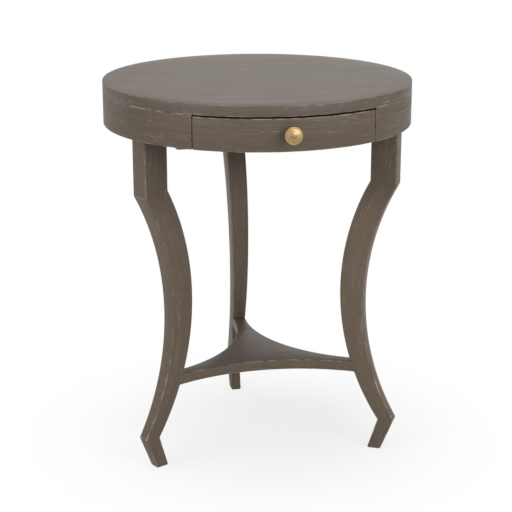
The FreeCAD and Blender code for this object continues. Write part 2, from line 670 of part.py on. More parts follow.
def drawer_runner(name, sign):
    """An L-shaped runner: a flat part under the drawer side and an upright beside it."""
    body = add_body(name)
    section = add_sketch(body, name + "_section", "XZ_Plane")
    outer = [
        (BOX_INNER, LEDGE_UNDER),
        (dim(f"{LEDGE_REACH} - ledge_corner"), LEDGE_UNDER),
        (LEDGE_REACH, dim(f"{LEDGE_UNDER} + ledge_corner")),
        (LEDGE_REACH, LEDGE_TOP),
        (GUIDE_OUTER, LEDGE_TOP),
        (GUIDE_OUTER, UPRIGHT_TOP),
        (GUIDE_INNER, UPRIGHT_TOP),
        (GUIDE_INNER, LEDGE_TOP),
        (BOX_INNER, LEDGE_TOP),
    ]
    corners = [(f"{sign} * {across}", level) for across, level in outer]
    draw_outline(section, corners, {1: (dim("ledge_corner"), sign)})
    pad(body, section, dim(f"{RAIL_SPAN} + rail_width"))
    body.setExpression("Placement.Base.y", REAR_RAIL_BACK)
    return body


kicker_size = (dim("kicker_width"), RAIL_SPAN, dim(f"{SLAB_UNDER} - {KICKER_UNDER}"))
kicker_low = (dim(f"{GUIDE_OUTER} - kicker_width"), dim(f"-1 * {RUNNER_FRONT}"), KICKER_UNDER)
stop_size = (dim(f"{GUIDE_INNER} - {BOX_INNER}"), dim("stop_length"), dim("stop_height"))
stop_low = (BOX_INNER, dim(f"{BOX_BACK} + stop_gap"), LEDGE_TOP)
block_size = (dim("opening_block_width"), dim(f"drum_radius - {OPENING_BLOCK_BACK}"),
              dim(f"{SLAB_UNDER} - {LEDGE_TOP}"))
block_low = (GUIDE_OUTER, dim("-1 * drum_radius"), LEDGE_TOP)
for side, sign in (("left", -1), ("right", 1)):
    drilled(f"drawer_runner_{side}", drawer_runner(f"runner_{side}_blank", sign))
    low = on_both_sides(kicker_low, kicker_size)[side]
    drilled(f"drawer_kicker_{side}", add_box(f"kicker_{side}_blank", low, kicker_size))
    low = on_both_sides(stop_low, stop_size)[side]
    keep(f"drawer_stop_{side}", add_box(f"drawer_stop_{side}", low, stop_size))
    low = on_both_sides(block_low, block_size)[side]
    block = add_box(f"opening_block_{side}_blank", low, block_size)
    drilled(f"opening_block_{side}", shared_by(f"opening_block_{side}_fitted", block, drum_space))


# Drawer box
def bottom_panel(name, clearance):
    """The drawer's bottom, which runs into the grooves of the front and the sides."""
    half = dim(f"{BOX_INNER} + panel_groove + {clearance}")
    low = (dim(f"-1 * {half}"), dim("-1 * drum_radius"), dim(f"{PANEL_UNDER} - {clearance}"))
    size = (dim(f"2 * {half}"), BOX_DEPTH, dim(f"panel_thickness + 2 * {clearance}"))
    reach = dim(f"{INNER_RADIUS} + panel_groove + {clearance}")
    limit = add_drum(name + "_limit", reach, "0", dim("table_height"))
    return shared_by(name, add_box(name + "_board", low, size), limit)


groove = bottom_panel("panel_groove_space", dim("panel_clearance"))
drilled("drawer_bottom", bottom_panel("panel_blank", "0"), "drawer")
drilled("drawer_front", cut("front_grooved", front, groove), "drawer")
side_size = (dim("box_side_thickness"), BOX_DEPTH, dim("box_height"))
side_low = (BOX_INNER, dim("-1 * drum_radius"), BOX_UNDER)
for side in ("left", "right"):
    low = on_both_sides(side_low, side_size)[side]
    board = add_box(f"box_side_{side}_blank", low, side_size)
    fitted = shared_by(f"box_side_{side}_fitted", board, drum_space)
    drilled(f"drawer_side_{side}", cut(f"box_side_{side}_grooved", fitted, groove), "drawer")
back_low = (dim(f"-1 * {BOX_INNER}"), dim(f"{BOX_BACK} - box_side_thickness"), BACK_UNDER)
back = add_box("box_back_blank", back_low,
               (dim(f"2 * {BOX_INNER}"), dim("box_side_thickness"), dim(f"{BOX_TOP} - {BACK_UNDER}")))
drilled("drawer_back", back, "drawer")

# Turned knob: foot, stem, flared underside, rolled rim, shallow cone and pointed tip
knob = add_body("knob_blank")
knob_half = add_sketch(knob, "knob_half", "XY_Plane")
TIP = dim("knob_reach")
CONE_TOP = dim(f"{TIP} - knob_tip")
CONE_FOOT = dim(f"{CONE_TOP} - knob_cone")
RIM_TOP = dim(f"{CONE_FOOT} + knob_rim_height")
RIM_UNDER = dim(f"{RIM_TOP} - knob_rim_depth")
STEM_TOP = dim(f"{RIM_UNDER} - knob_flare")
STEM_FOOT = dim("2 * knob_foot_thickness")
RIM_INNER = dim("knob_radius - knob_rim_width")
RIM_CREST = dim("knob_radius - knob_rim_width / 2")
knob_corners = [
    ("0", "0"),
    (dim("knob_foot_radius"), "0"),
    (dim("knob_foot_radius"), dim("knob_foot_thickness")),
    (dim("knob_stem_radius"), STEM_FOOT),
    (dim("knob_stem_radius"), STEM_TOP),
    (RIM_CREST, RIM_UNDER),
    (dim("knob_radius"), dim(f"{RIM_UNDER} + knob_rim_width / 2")),
    (dim("knob_radius"), CONE_FOOT),
    (RIM_CREST, RIM_TOP),
    (RIM_INNER, CONE_FOOT),
    (dim("knob_tip_radius"), CONE_TOP),
    ("0", TIP),
]
draw_outline(knob_half, [(across, dim(f"-1 * {out}")) for across, out in knob_corners])
revolve(knob, knob_half)
knob.setExpression("Placement.Base.y", dim("-1 * drum_radius"))
knob.setExpression("Placement.Base.z", KNOB_LEVEL)
drilled("knob", knob, "drawer")

# Check every piece, then write one file for each
doc.recompute()
for item in doc.Objects:
    if any(state in ("Invalid", "Error") for state in item.State):
        raise ValueError(f"{item.Label} did not build: {item.State}")
for name, piece in nodes.items():
    if piece.Shape.isNull() or not piece.Shape.isValid() or not piece.Shape.Solids:
        raise ValueError(f"{name} has no valid solid")
os.makedirs("parts", exist_ok=True)
axis_setback = FreeCAD.Vector(0, value(dim("knob_reach / 2")), 0)
for name, piece in nodes.items():
    shape = piece.Shape.copy()
    shape.translate(axis_setback)
    shape.exportStep(f"parts/{name}.step")
    print(f"{name}: {len(piece.Shape.Solids)} solids, {piece.Shape.Volume / 1000:.1f} cm3")
print(f"{len(nodes)} nodes")
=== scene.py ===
"""Looks of a round side table with a curved drawer, swept legs and a lower shelf.

Lengths are in metres, +Z is up and the drawer faces -Y. Round pieces are built about the
drum's axis, with azimuths that are zero at the drawer and grow towards +X, and then moved
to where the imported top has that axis.
"""

import logging
import math
import random
from contextlib import contextmanager
from dataclasses import dataclass, field
from enum import Enum
from typing import Callable, Iterator, Sequence

import bmesh
import bpy
import numpy as np
from mathutils import Matrix, Quaternion, Vector


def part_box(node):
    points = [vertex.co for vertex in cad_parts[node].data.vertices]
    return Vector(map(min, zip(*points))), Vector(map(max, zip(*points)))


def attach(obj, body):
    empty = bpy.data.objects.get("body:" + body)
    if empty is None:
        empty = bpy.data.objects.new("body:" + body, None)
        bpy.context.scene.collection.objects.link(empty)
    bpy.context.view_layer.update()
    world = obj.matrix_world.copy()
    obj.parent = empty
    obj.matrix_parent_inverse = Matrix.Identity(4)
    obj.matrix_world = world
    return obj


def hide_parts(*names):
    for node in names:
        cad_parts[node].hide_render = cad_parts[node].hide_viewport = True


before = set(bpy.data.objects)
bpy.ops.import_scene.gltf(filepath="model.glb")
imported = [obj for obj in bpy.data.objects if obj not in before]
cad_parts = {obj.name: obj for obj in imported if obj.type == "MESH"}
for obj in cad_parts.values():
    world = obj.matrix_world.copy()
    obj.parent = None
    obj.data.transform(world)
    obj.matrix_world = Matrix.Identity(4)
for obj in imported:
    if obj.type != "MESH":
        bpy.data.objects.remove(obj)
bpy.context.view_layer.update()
TOP_LOW, TOP_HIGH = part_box("top_panel")
LOG = logging.getLogger("side_table")

Pair = tuple[float, float]
Point = tuple[float, float, float]
Colour = tuple[float, float, float]
Material = bpy.types.Material
Mesh = bpy.types.Mesh
Object = bpy.types.Object
Socket = bpy.types.NodeSocket

AXIS = Vector(((TOP_LOW[0] + TOP_HIGH[0]) / 2.0, (TOP_LOW[1] + TOP_HIGH[1]) / 2.0, 0.0))
ORIGIN: Point = (0.0, 0.0, 0.0)
UNSCALED: Point = (1.0, 1.0, 1.0)


class Slot(Enum):
    """Material slots of the record, one named for each piece."""

    TAUPE = "taupe_wood"
    BRASS = "brass"
    STEEL = "steel"


class Body(Enum):
    """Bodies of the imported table."""

    TABLE = "table"
    DRAWER = "drawer"


class Drive(Enum):
    """Recess in the head of a screw."""

    CROSS = "cross"
    HEXAGON = "hexagon"


# Node trees


class Nodes:
    """A small builder of one node tree."""

    def __init__(self, tree: bpy.types.NodeTree) -> None:
        """Start with an empty tree."""
        self.tree = tree
        tree.nodes.clear()

    def node(self, kind: str, inputs: dict[int | str, object] | None = None,
             **settings: object) -> bpy.types.Node:
        """Add a node.

        Args:
            kind: The node's type name.
            inputs: By name or place, a socket, a list of sockets or a plain value for each input.
            **settings: Values for the node's own properties.

        Returns:
            The new node.
        """
        made = self.tree.nodes.new(kind)
        for name, value in settings.items():
            setattr(made, name, value)
        for name, value in (inputs or {}).items():
            for part in value if isinstance(value, list) else [value]:
                if isinstance(part, Socket):
                    self.tree.links.new(part, made.inputs[name])
                else:
                    made.inputs[name].default_value = part
        return made

    def maths(self, operation: str, first: object, second: object = 0.0) -> Socket:
        """Work out one sum of two sockets or numbers."""
        return self.node("ShaderNodeMath", {0: first, 1: second}, operation=operation).outputs[0]

    def share(self, value: Socket, factor: object) -> Socket:
        """Multiply a value by a factor."""
        return self.maths("MULTIPLY", value, factor)

    def shares(self, first: Socket, first_share: float, second: Socket, second_share: float) -> Socket:
        """Add up shares of two values."""
        return self.maths("ADD", self.share(first, first_share), self.share(second, second_share))

    def vector(self, x: object, y: object, z: object) -> Socket:
        """Join three values into a vector."""
        return self.node("ShaderNodeCombineXYZ", {"X": x, "Y": y, "Z": z}).outputs["Vector"]

    def spread(self, value: Socket, low: float, high: float, to_low: float = 0.0,
               to_high: float = 1.0) -> Socket:
        """Map a range of values onto another with a smooth step."""
        limits = {"From Min": low, "From Max": high, "To Min": to_low, "To Max": to_high}
        return self.node("ShaderNodeMapRange", {"Value": value, **limits},
                         interpolation_type="SMOOTHSTEP").outputs["Result"]

    def mixed(self, factor: Socket, first: bpy.types.Node, second: bpy.types.Node) -> bpy.types.Node:
        """Mix the shaders of two nodes."""
        return self.node("ShaderNodeMixShader", {0: factor, 1: first.outputs[0], 2: second.outputs[0]})


@dataclass(frozen=True)
class Noise:
    """A noise on coordinates that are stretched by a scale and moved by a shift."""

    scale: Point
    detail: float = 2.0
    rough: float = 0.5
    shift: Point = ORIGIN
    distort: float = 0.0


class Shader(Nodes):
    """A small builder of one procedural material."""

    def __init__(self, name: str) -> None:
        """Start a material with a plain surface.

        Args:
            name: The material's name.
        """
        self.material = bpy.data.materials.new(name)
        self.material.use_nodes = True
        super().__init__(self.material.node_tree)
        self.surface = self.node("ShaderNodeBsdfPrincipled")
        self.node("ShaderNodeOutputMaterial", {"Surface": self.surface.outputs["BSDF"]})

    def place(self) -> Socket:
        """Give the coordinates of the object."""
        return self.node("ShaderNodeTexCoord").outputs["Object"]

    def stretched(self, vector: Socket, scale: Point = UNSCALED, shift: Point = ORIGIN,
                  turn: Point = ORIGIN) -> Socket:
        """Scale coordinates along each axis, turn them by angles in radians and shift them."""
        return self.node("ShaderNodeMapping", {"Vector": vector, "Scale": scale, "Location": shift,
                                               "Rotation": turn}).outputs["Vector"]

    def noise(self, vector: Socket, kind: Noise) -> Socket:
        """Read a noise, from 0 to 1, at some coordinates."""
        return self.node("ShaderNodeTexNoise", {
            "Vector": self.stretched(vector, kind.scale, kind.shift), "Scale": 1.0, "Detail": kind.detail,
            "Roughness": kind.rough, "Distortion": kind.distort}).outputs["Fac"]

    def blend(self, factor: Socket, first: object, second: object) -> Socket:
        """Mix two colours, plain or from a socket, by how much of the second shows."""
        ends = [value if isinstance(value, Socket) else (*value, 1.0) for value in (first, second)]
        return self.node("ShaderNodeMix", {"Factor": factor, 6: ends[0], 7: ends[1]},
                         data_type="RGBA").outputs[2]

    def finish(self, colour: Socket, roughness: Socket, height: Socket, relief: float,
               strength: float = 1.0) -> Material:
        """Join colour, roughness and relief to the surface.

        Args:
            colour: The base colour.
            roughness: The roughness.
            height: A height map, from 0 to 1.
            relief: Metres between its heights 0 and 1.
            strength: Strength of the relief.

        Returns:
            The material.
        """
        bump = self.node("ShaderNodeBump", {"Strength": strength, "Distance": relief, "Height": height})
        ends = {"Base Color": colour, "Roughness": roughness, "Normal": bump.outputs["Normal"]}
        for name, socket in ends.items():
            self.tree.links.new(socket, self.surface.inputs[name])
        return self.material


@dataclass(frozen=True)
class LimedPaint:
    """Taupe paint over wire-brushed wood, with limed pores, worn arrises and painted shade: a darker colour on
    upward faces and a near-black stain where shade falls.
    """

    name: str
    paint: Colour = (0.128, 0.097, 0.070)
    shade: Colour = (0.104, 0.078, 0.055)
    # partly painted shade: a flat, darker colour for upward faces; it calms the texture of the tops and darkens
    # them to match how the light falls on them
    smooth: Colour = (0.1045, 0.0795, 0.0640)
    smooth_and_shade_share: float = 0.62
    lime: Colour = (0.40, 0.36, 0.29)
    worn: Colour = (0.42, 0.38, 0.31)
    worn_share: float = 0.9
    # painted shade: a near-black stain that stands in for the shade in the drawer's gaps and under the drum
    painted_shade_colour: Colour = (0.038, 0.029, 0.022)
    specular: float = 0.28
    relief: float = 0.0002
    limed_from: float = 0.96
    limed_width: float = 0.16
    limed_share: float = 0.75
    limed_patch: float = 0.6
    calm_lime: float = 0.35
    wisp_share: float = 0.24
    rub_least: float = 0.08
    tones: Pair = (0.36, 0.62)
    wisps: Pair = (0.58, 0.80)
    rubs: Pair = (0.42, 0.62)
    wears: Pair = (0.1, 1.0)
    streaks: Pair = (0.3, 0.7)
    roughness: Pair = (0.59, 0.47)
    cloud: Noise = Noise((5.0, 9.0, 9.0), 3.0)
    streak: Noise = Noise((6.0, 300.0, 300.0), 4.0, 0.65, (3.1, 0.0, 1.7))
    fibre: Noise = Noise((30.0, 1000.0, 1000.0), 2.0, 0.6, (0.0, 5.3, 2.2))
    scratch: Noise = Noise((40.0, 1500.0, 1500.0), 1.0, 0.5, (7.7, 1.1, 0.0))
    patch: Noise = Noise((9.0, 60.0, 60.0), 2.0, 0.6, (0.4, 8.1, 5.0))
    rub: Noise = Noise((40.0, 200.0, 200.0), 4.0, 0.75, (2.0, 2.0, 9.0))

    def make(self) -> Material:
        """Build the material.

        Returns:
            The material, which reads the attributes grain, arris and calm.
        """
        shader = Shader(self.name)
        grain, arris, calm = (shader.node("ShaderNodeAttribute", attribute_name=name).outputs[output]
                              for name, output in (("grain", "Vector"), ("arris", "Fac"), ("calm", "Fac")))
        cloud, streak, fibre, scratch, patch, rub = (shader.noise(grain, kind) for kind in (
            self.cloud, self.streak, self.fibre, self.scratch, self.patch, self.rub))
        tone = shader.spread(shader.shares(cloud, 0.5, streak, 0.5), *self.tones)
        colour = shader.blend(tone, self.shade, self.paint)
        # upward faces: calmer texture, and a darker colour that is painted shade
        colour = shader.blend(shader.share(calm, self.smooth_and_shade_share), colour, self.smooth)
        show = shader.spread(calm, 0.0, 1.0, 1.0, self.calm_lime)
        limed = shader.spread(shader.shares(scratch, 1.0, patch, self.limed_patch),
                              self.limed_from, self.limed_from + self.limed_width)
        colour = shader.blend(shader.share(limed, shader.share(show, self.limed_share)), colour, self.lime)
        wisps = shader.share(shader.spread(fibre, *self.wisps, 0.0, self.wisp_share), show)
        colour = shader.blend(wisps, colour, self.lime)
        # painted shade: where the arris attribute is below 0 the colour goes towards the near-black stain
        colour = shader.blend(shader.share(arris, -1.0), colour, self.painted_shade_colour)
        rubbed = shader.share(arris, shader.spread(rub, *self.rubs, self.rub_least, 1.0))
        colour = shader.blend(shader.spread(rubbed, *self.wears, 0.0, self.worn_share), colour, self.worn)
        shader.surface.inputs["Specular IOR Level"].default_value = self.specular
        return shader.finish(colour, shader.spread(streak, *self.streaks, *self.roughness),
                             shader.shares(streak, 0.5, fibre, 0.5), self.relief)


@dataclass(frozen=True)
class BareWood:
    """Planed wood with straight grain along one direction in plan."""

    name: str
    early: Colour
    late: Colour
    azimuth: float = 90.0
    rings: Noise = Noise((1.6, 114.0, 57.0), 3.0, 0.6, distort=0.4)
    warp: Noise = Noise((2.0, 7.0, 7.0))
    pores: Noise = Noise((40.0, 1100.0, 1100.0), 2.0, 0.6)
    ring_share: float = 0.6
    warp_share: float = 0.4
    tones: Pair = (0.34, 0.66)
    pore_tones: Pair = (0.58, 0.78)
    pore_share: float = 0.5
    pore_dark: float = 0.55
    warps: Pair = (0.3, 0.7)
    roughness: Pair = (0.54, 0.66)
    relief: float = 0.0001
    strength: float = 0.6

    def make(self) -> Material:
        """Build the material.

        Returns:
            The material, on object coordinates.
        """
        shader = Shader(self.name)
        along = shader.stretched(shader.place(), turn=(0.0, 0.0, math.radians(90.0 - self.azimuth)))
        warp, rings, pores = (shader.noise(along, kind) for kind in (self.warp, self.rings, self.pores))
        tone = shader.spread(shader.shares(rings, self.ring_share, warp, self.warp_share), *self.tones)
        dark = tuple(part * self.pore_dark for part in self.late)
        colour = shader.blend(shader.spread(pores, *self.pore_tones, 0.0, self.pore_share),
                              shader.blend(tone, self.early, self.late), dark)
        return shader.finish(colour, shader.spread(warp, *self.warps, *self.roughness), pores, self.relief,
                             self.strength)


@dataclass(frozen=True)
class BlackPaint:
    """Thin matte black paint over planed wood."""

    name: str = "black painted wood"
    colour: Colour = (0.008, 0.0075, 0.007)
    rubbed: Colour = (0.035, 0.030, 0.026)
    rubbed_share: float = 0.6
    fibre: Noise = Noise((700.0, 30.0, 700.0), 3.0, 0.6)
    worn: Noise = Noise((60.0, 8.0, 60.0), 3.0)
    rubs: Pair = (0.55, 0.8)
    wears: Pair = (0.3, 0.7)
    roughness: Pair = (0.62, 0.48)
    relief: float = 0.00015

    def make(self) -> Material:
        """Build the material.

        Returns:
            The material, on object coordinates.
        """
        shader = Shader(self.name)
        fibre, worn = (shader.noise(shader.place(), kind) for kind in (self.fibre, self.worn))
        colour = shader.blend(shader.spread(worn, *self.rubs, 0.0, self.rubbed_share), self.colour, self.rubbed)
        return shader.finish(colour, shader.spread(worn, *self.wears, *self.roughness), fibre, self.relief)


@dataclass(frozen=True)
class SatinMetal:
    """Turned metal with fine rings, slight tarnish, and painted shade in the colour of patina behind its rim
    and in its hollows.
    """

    name: str
    colour: Colour
    tarnish: Colour
    roughness: Pair
    centre: Point = ORIGIN
    # painted shade: a dark colour behind the rim and in rings round the grooves, where shade falls
    metal_painted_shade: Colour = (0.05, 0.035, 0.018)
    metal_shade_reach: float = 0.0
    metal_shade_edge: Pair = (0.975, 1.01)
    metal_shade_share: float = 0.9
    metal_shade_rings: tuple[Point, ...] = ()
    ring_scale: float = 2600.0
    rings: Noise = Noise(UNSCALED, 2.0, 0.7)
    cloud: Noise = Noise((150.0, 150.0, 150.0), 3.0)
    tarnishes: Pair = (0.45, 0.75)
    wavers: Pair = (0.35, 0.7)
    relief: float = 0.00004
    strength: float = 0.6

    def make(self) -> Material:
        """Build the material.

        Returns:
            The material, on object coordinates.
        """
        shader = Shader(self.name)
        place = shader.place()
        local = shader.stretched(place, shift=tuple(-part for part in self.centre))
        split = shader.node("ShaderNodeSeparateXYZ", {"Vector": local}).outputs
        reach = shader.maths("SQRT", shader.maths("ADD", *(shader.maths("POWER", split[axis], 2.0)
                                                           for axis in ("X", "Z"))))
        turned = shader.vector(*(shader.share(part, self.ring_scale) for part in (reach, split["Y"])), 0.0)
        rings, cloud = shader.noise(turned, self.rings), shader.noise(place, self.cloud)
        colour = shader.blend(shader.spread(cloud, *self.tarnishes), self.colour, self.tarnish)
        # painted shade behind the rim and in the grooves
        if self.metal_shade_reach > 0.0:
            behind = shader.share(split["Y"], -1.0 / self.metal_shade_reach)
            colour = shader.blend(shader.spread(behind, *self.metal_shade_edge, self.metal_shade_share, 0.0), colour,
                                  self.metal_painted_shade)
            for ring, width, depth in self.metal_shade_rings:
                off = shader.maths("ABSOLUTE", shader.maths("SUBTRACT", reach, ring))
                colour = shader.blend(shader.spread(off, 0.0, width, depth, 0.0), colour, self.metal_painted_shade)
        shader.surface.inputs["Metallic"].default_value = 1.0
        wavering = shader.spread(shader.shares(rings, 0.5, cloud, 0.5), *self.wavers, *self.roughness)
        return shader.finish(colour, wavering, rings, self.relief, self.strength)


# Meshes


@dataclass(frozen=True)
class Corners:
    """The corners of a mesh's faces: their places, and their faces' centres and normals."""

    places: np.ndarray
    centres: np.ndarray
    normals: np.ndarray


Rule = Callable[[Corners], np.ndarray]
EdgeRule = Callable[[Vector, Vector], float]


@dataclass(frozen=True)
class Woodwork:
    """How a wooden piece is worked: its rounding, its creases, its grain, its wear and its painted shade."""

    ease: float
    weigh: EdgeRule
    lay: Rule
    wear: Rule
    # painted shade: a rule for how much near-black stain stands in for shade off the arrises
    painted_shade: Rule | None = None
    crease: float = 35.0
    arris_faces: int = 3
    arris_from: float = 15.0
    rim_wear: float = 0.6

    def work(self, piece: Object) -> None:
        """Round, shade and mark a piece.

        Args:
            piece: The object.
        """
        self.ease_arrises(piece)
        shade_by_angle(piece.data, self.crease)
        self.mark(piece.data)

    def ease_arrises(self, piece: Object) -> None:
        """Round the arrises, and give their faces a second material index.

        Args:
            piece: The object.
        """
        mesh = piece.data
        with editing(mesh) as made:
            layer = made.edges.layers.float.new("bevel_weight_edge")
            for edge in made.edges:
                if edge.is_manifold and edge.calc_face_angle(0.0) > math.radians(self.arris_from):
                    edge[layer] = self.weigh(edge.verts[0].co, edge.verts[1].co)
        for _ in range(2 - len(mesh.materials)):
            mesh.materials.append(None)
        bevel = piece.modifiers.new("arris", "BEVEL")
        bevel.limit_method = "WEIGHT"
        bevel.width = self.ease
        bevel.segments = self.arris_faces
        bevel.material = 1
        bevel.use_clamp_overlap = True
        settle(piece)

    def mark(self, mesh: Mesh) -> None:
        """Store the grain's coordinates, the wear and painted shade, and how far each face looks upwards.

        Wear is stored on the arrises as a share above 0, and painted shade elsewhere as one below 0.

        Args:
            mesh: The mesh, whose arrises have material index 1.
        """
        vertex = read(mesh.loops, "vertex_index", np.int32)
        places = read(mesh.vertices, "co", np.float32, 3)
        owner = np.repeat(np.arange(len(mesh.polygons)), read(mesh.polygons, "loop_total", np.int32))
        centres, normals = (read(mesh.polygons, name, np.float32, 3)[owner] for name in ("center", "normal"))
        corners = Corners(places[vertex], centres, normals)
        eased = read(mesh.polygons, "material_index", np.int32)[owner] == 1
        rim = np.zeros(len(places), bool)
        rim[vertex[~eased]] = True
        worn = np.where(rim[vertex], self.rim_wear, 1.0) * self.wear(corners)
        # off the arrises the attribute holds painted shade, as a negative share
        worn = np.where(eased, worn, -self.painted_shade(corners) if self.painted_shade else 0.0)
        # how far each face looks upwards, which calms its texture and paints it darker as shade
        calm = np.clip(normals[:, 2] * 2.0 - 1.0, 0.0, 1.0)
        for name, kind, key, values in (("grain", "FLOAT_VECTOR", "vector", self.lay(corners)),
                                        ("arris", "FLOAT", "value", worn), ("calm", "FLOAT", "value", calm)):
            layer = mesh.attributes.new(name, kind, "CORNER")
            layer.data.foreach_set(key, values.astype(np.float32).ravel())
        mesh.polygons.foreach_set("material_index", np.zeros(len(mesh.polygons), np.int32))
        mesh.update()


@contextmanager
def editing(mesh: Mesh) -> Iterator[bmesh.types.BMesh]:
    """Open a mesh for editing, and write it back.

    Args:
        mesh: The mesh.

    Yields:
        What it holds, to be changed.
    """
    made = bmesh.new()
    made.from_mesh(mesh)
    yield made
    made.to_mesh(mesh)
    made.free()


def read(items: bpy.types.bpy_prop_collection, name: str, kind: type, width: int = 1) -> np.ndarray:
    """Read one property of every item.

    Args:
        items: The items.
        name: The property.
        kind: The type of its numbers.
        width: How many numbers it has.

    Returns:
        One number for each item, or a row where there are more.
    """
    values = np.zeros(len(items) * width, kind)
    items.foreach_get(name, values)
    return values if width == 1 else values.reshape(-1, width).astype(float)


def new_object(name: str, data: bpy.types.ID) -> Object:
    """Put a mesh, a lamp or a camera into the scene, at the origin and unturned.

    Args:
        name: The object's name.
        data: What it shows.

    Returns:
        The object.
    """
    made = bpy.data.objects.new(name, data)
    bpy.context.scene.collection.objects.link(made)
    return made


def settle(piece: Object) -> None:
    """Turn a piece's modifiers into plain mesh.

    Args:
        piece: The object, with its modifiers.
    """
    bpy.context.view_layer.update()
    graph = bpy.context.evaluated_depsgraph_get()
    mesh = bpy.data.meshes.new_from_object(piece.evaluated_get(graph))
    mesh.name = piece.name
    piece.modifiers.clear()
    piece.data = mesh


def shade_by_angle(mesh: Mesh, degrees: float) -> None:
    """Smooth a mesh, with a crease wherever two faces meet at a larger angle.

    Args:
        mesh: The mesh.
        degrees: The largest angle that is smoothed.
    """
    with editing(mesh) as made:
        for edge in made.edges:
            edge.smooth = not (edge.is_manifold and edge.calc_face_angle(0.0) > math.radians(degrees))
        for face in made.faces:
            face.smooth = True


def ring_lay(corners: Corners) -> np.ndarray:
    """Lay the grain around the drum, joined opposite the drawer.

    Args:
        corners: The face corners.

    Returns:
        Coordinates along the grain, across it and through it.
    """
    middle, angle = (np.arctan2(part[:, 0], -part[:, 1]) for part in (corners.centres, corners.places))
    angle = middle + (angle - middle + math.pi) % (2.0 * math.pi) - math.pi
    reach = np.hypot(corners.places[:, 0], corners.places[:, 1])
    return np.stack([angle * Drum.radius, corners.places[:, 2], reach], 1)


def gap_painted_shade(corners: Corners) -> np.ndarray:
    """Mark for painted shade the faces of a bent wall that stand in the drawer's gaps: the ends and the top."""
    radial = (corners.centres * corners.normals)[:, :2].sum(1) / np.hypot(*corners.centres[:, :2].T)
    return np.where((np.abs(radial) < 0.5) & (corners.normals[:, 2] > -0.5), 1.0, 0.0)


def board_lay(corners: Corners) -> np.ndarray:
    """Lay the grain from left to right."""
    return corners.places.copy()


def evenly(wear: float) -> Rule:
    """Make the rule of a piece that is worn alike all over."""
    return lambda corners: np.full(len(corners.places), wear)


def compass(azimuth: float) -> tuple[Point, Point]:
    """Give the directions outward and sideways at an azimuth in degrees."""
    angle = math.radians(azimuth)
    return (math.sin(angle), -math.cos(angle), 0.0), (math.cos(angle), math.sin(angle), 0.0)


def spot_at(azimuth: float, reach: float, level: float) -> Vector:
    """Give the place at an azimuth in degrees, a distance from the axis and a level."""
    angle = math.radians(azimuth)
    return Vector((reach * math.sin(angle), -reach * math.cos(angle), level))


def add_face(made: bmesh.types.BMesh, corners: Sequence[bmesh.types.BMVert]) -> None:
    """Add a face, unless its corners leave less than a triangle.

    Args:
        made: The mesh that it belongs to.
        corners: Its corners, some of which may be the same.
    """
    unique = list(dict.fromkeys(corners))
    if len(unique) > 2:
        made.faces.new(unique)


def dress(piece: Object, body: Body, material: Material, slot: Slot, *nodes: str) -> None:
    """Move a piece onto the drum's axis and give it its material, body and nodes.

    Args:
        piece: The object, built about an axis through the origin.
        body: The body it rides on.
        material: Its material.
        slot: The record's slot it takes its finish from; not used.
        *nodes: CAD nodes that it replaces.
    """
    piece.data.transform(Matrix.Translation(AXIS))
    piece.data.materials.clear()
    piece.data.materials.append(material)
    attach(piece, body.value)
    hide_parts(*nodes)
    LOG.info("%s: %d faces on body %s", piece.name, len(piece.data.polygons), body.value)


def lathe(name: str, profile: Sequence[Pair], steps: int) -> Mesh:
    """Turn a closed profile about the Z axis.

    Args:
        name: The mesh's name.
        profile: Pairs of radius and level, the first and last on the axis.
        steps: Faces around.

    Returns:
        The mesh.
    """
    mesh = bpy.data.meshes.new(name)
    with editing(mesh) as made:
        rings = []
        for radius, level in profile:
            angles = [2.0 * math.pi * step / steps for step in range(steps if radius > 0.0 else 1)]
            rings.append([made.verts.new((radius * math.cos(a), radius * math.sin(a), level)) for a in angles])
        for lower, upper in zip(rings, rings[1:]):
            for step in range(steps):
                after = (step + 1) % steps
                add_face(made, [lower[step % len(lower)], lower[after % len(lower)],
                                upper[after % len(upper)], upper[step % len(upper)]])
        bmesh.ops.recalc_face_normals(made, faces=made.faces)
    return mesh


class GeometryTree(Nodes):
    """A small builder of one Geometry Nodes tree with named inputs."""

    def __init__(self, name: str, sizes: Sequence[str], counts: Sequence[str] = (),
                 takes_mesh: bool = False) -> None:
        """Start a tree.

        Args:
            name: The tree's name.
            sizes: Names of the inputs that are lengths or angles.
            counts: Names of the inputs that are whole numbers.
            takes_mesh: Whether the tree starts from the object's own mesh.
        """
        super().__init__(bpy.data.node_groups.new(name, "GeometryNodeTree"))
        face = self.tree.interface
        face.new_socket(name="Geometry", in_out="OUTPUT", socket_type="NodeSocketGeometry")
        if takes_mesh:
            face.new_socket(name="Geometry", in_out="INPUT", socket_type="NodeSocketGeometry")
        kinds = {**dict.fromkeys(sizes, "NodeSocketFloat"), **dict.fromkeys(counts, "NodeSocketInt"),
                 "Material": "NodeSocketMaterial"}
        self.keys = {label: face.new_socket(name=label, in_out="INPUT", socket_type=kind).identifier
                     for label, kind in kinds.items()}
        self.source = self.node("NodeGroupInput")
        self.sink = self.node("NodeGroupOutput")

    def given(self, label: str) -> Socket:
        """Give the socket of a named input."""
        return self.source.outputs[label]

    def raised(self, geometry: Socket, level: Socket) -> Socket:
        """Move a geometry upwards."""
        return self.node("GeometryNodeTransform", {
            "Geometry": geometry, "Translation": self.vector(0.0, 0.0, level)}).outputs["Geometry"]

    def finish(self, geometry: Socket) -> None:
        """End the tree in realized instances and its material.

        Args:
            geometry: What the tree has made.
        """
        real = self.node("GeometryNodeRealizeInstances", {"Geometry": geometry})
        coated = self.node("GeometryNodeSetMaterial", {"Geometry": real.outputs["Geometry"],
                                                       "Material": self.given("Material")})
        self.tree.links.new(coated.outputs["Geometry"], self.sink.inputs["Geometry"])

    def grow(self, piece: Object, values: dict[str, object]) -> None:
        """Run the tree on an object and keep its result as plain mesh.

        Args:
            piece: The object.
            values: A value for each named input.
        """
        modifier = piece.modifiers.new(self.tree.name, "NODES")
        modifier.node_group = self.tree
        for label, value in values.items():
            modifier[self.keys[label]] = value
        settle(piece)


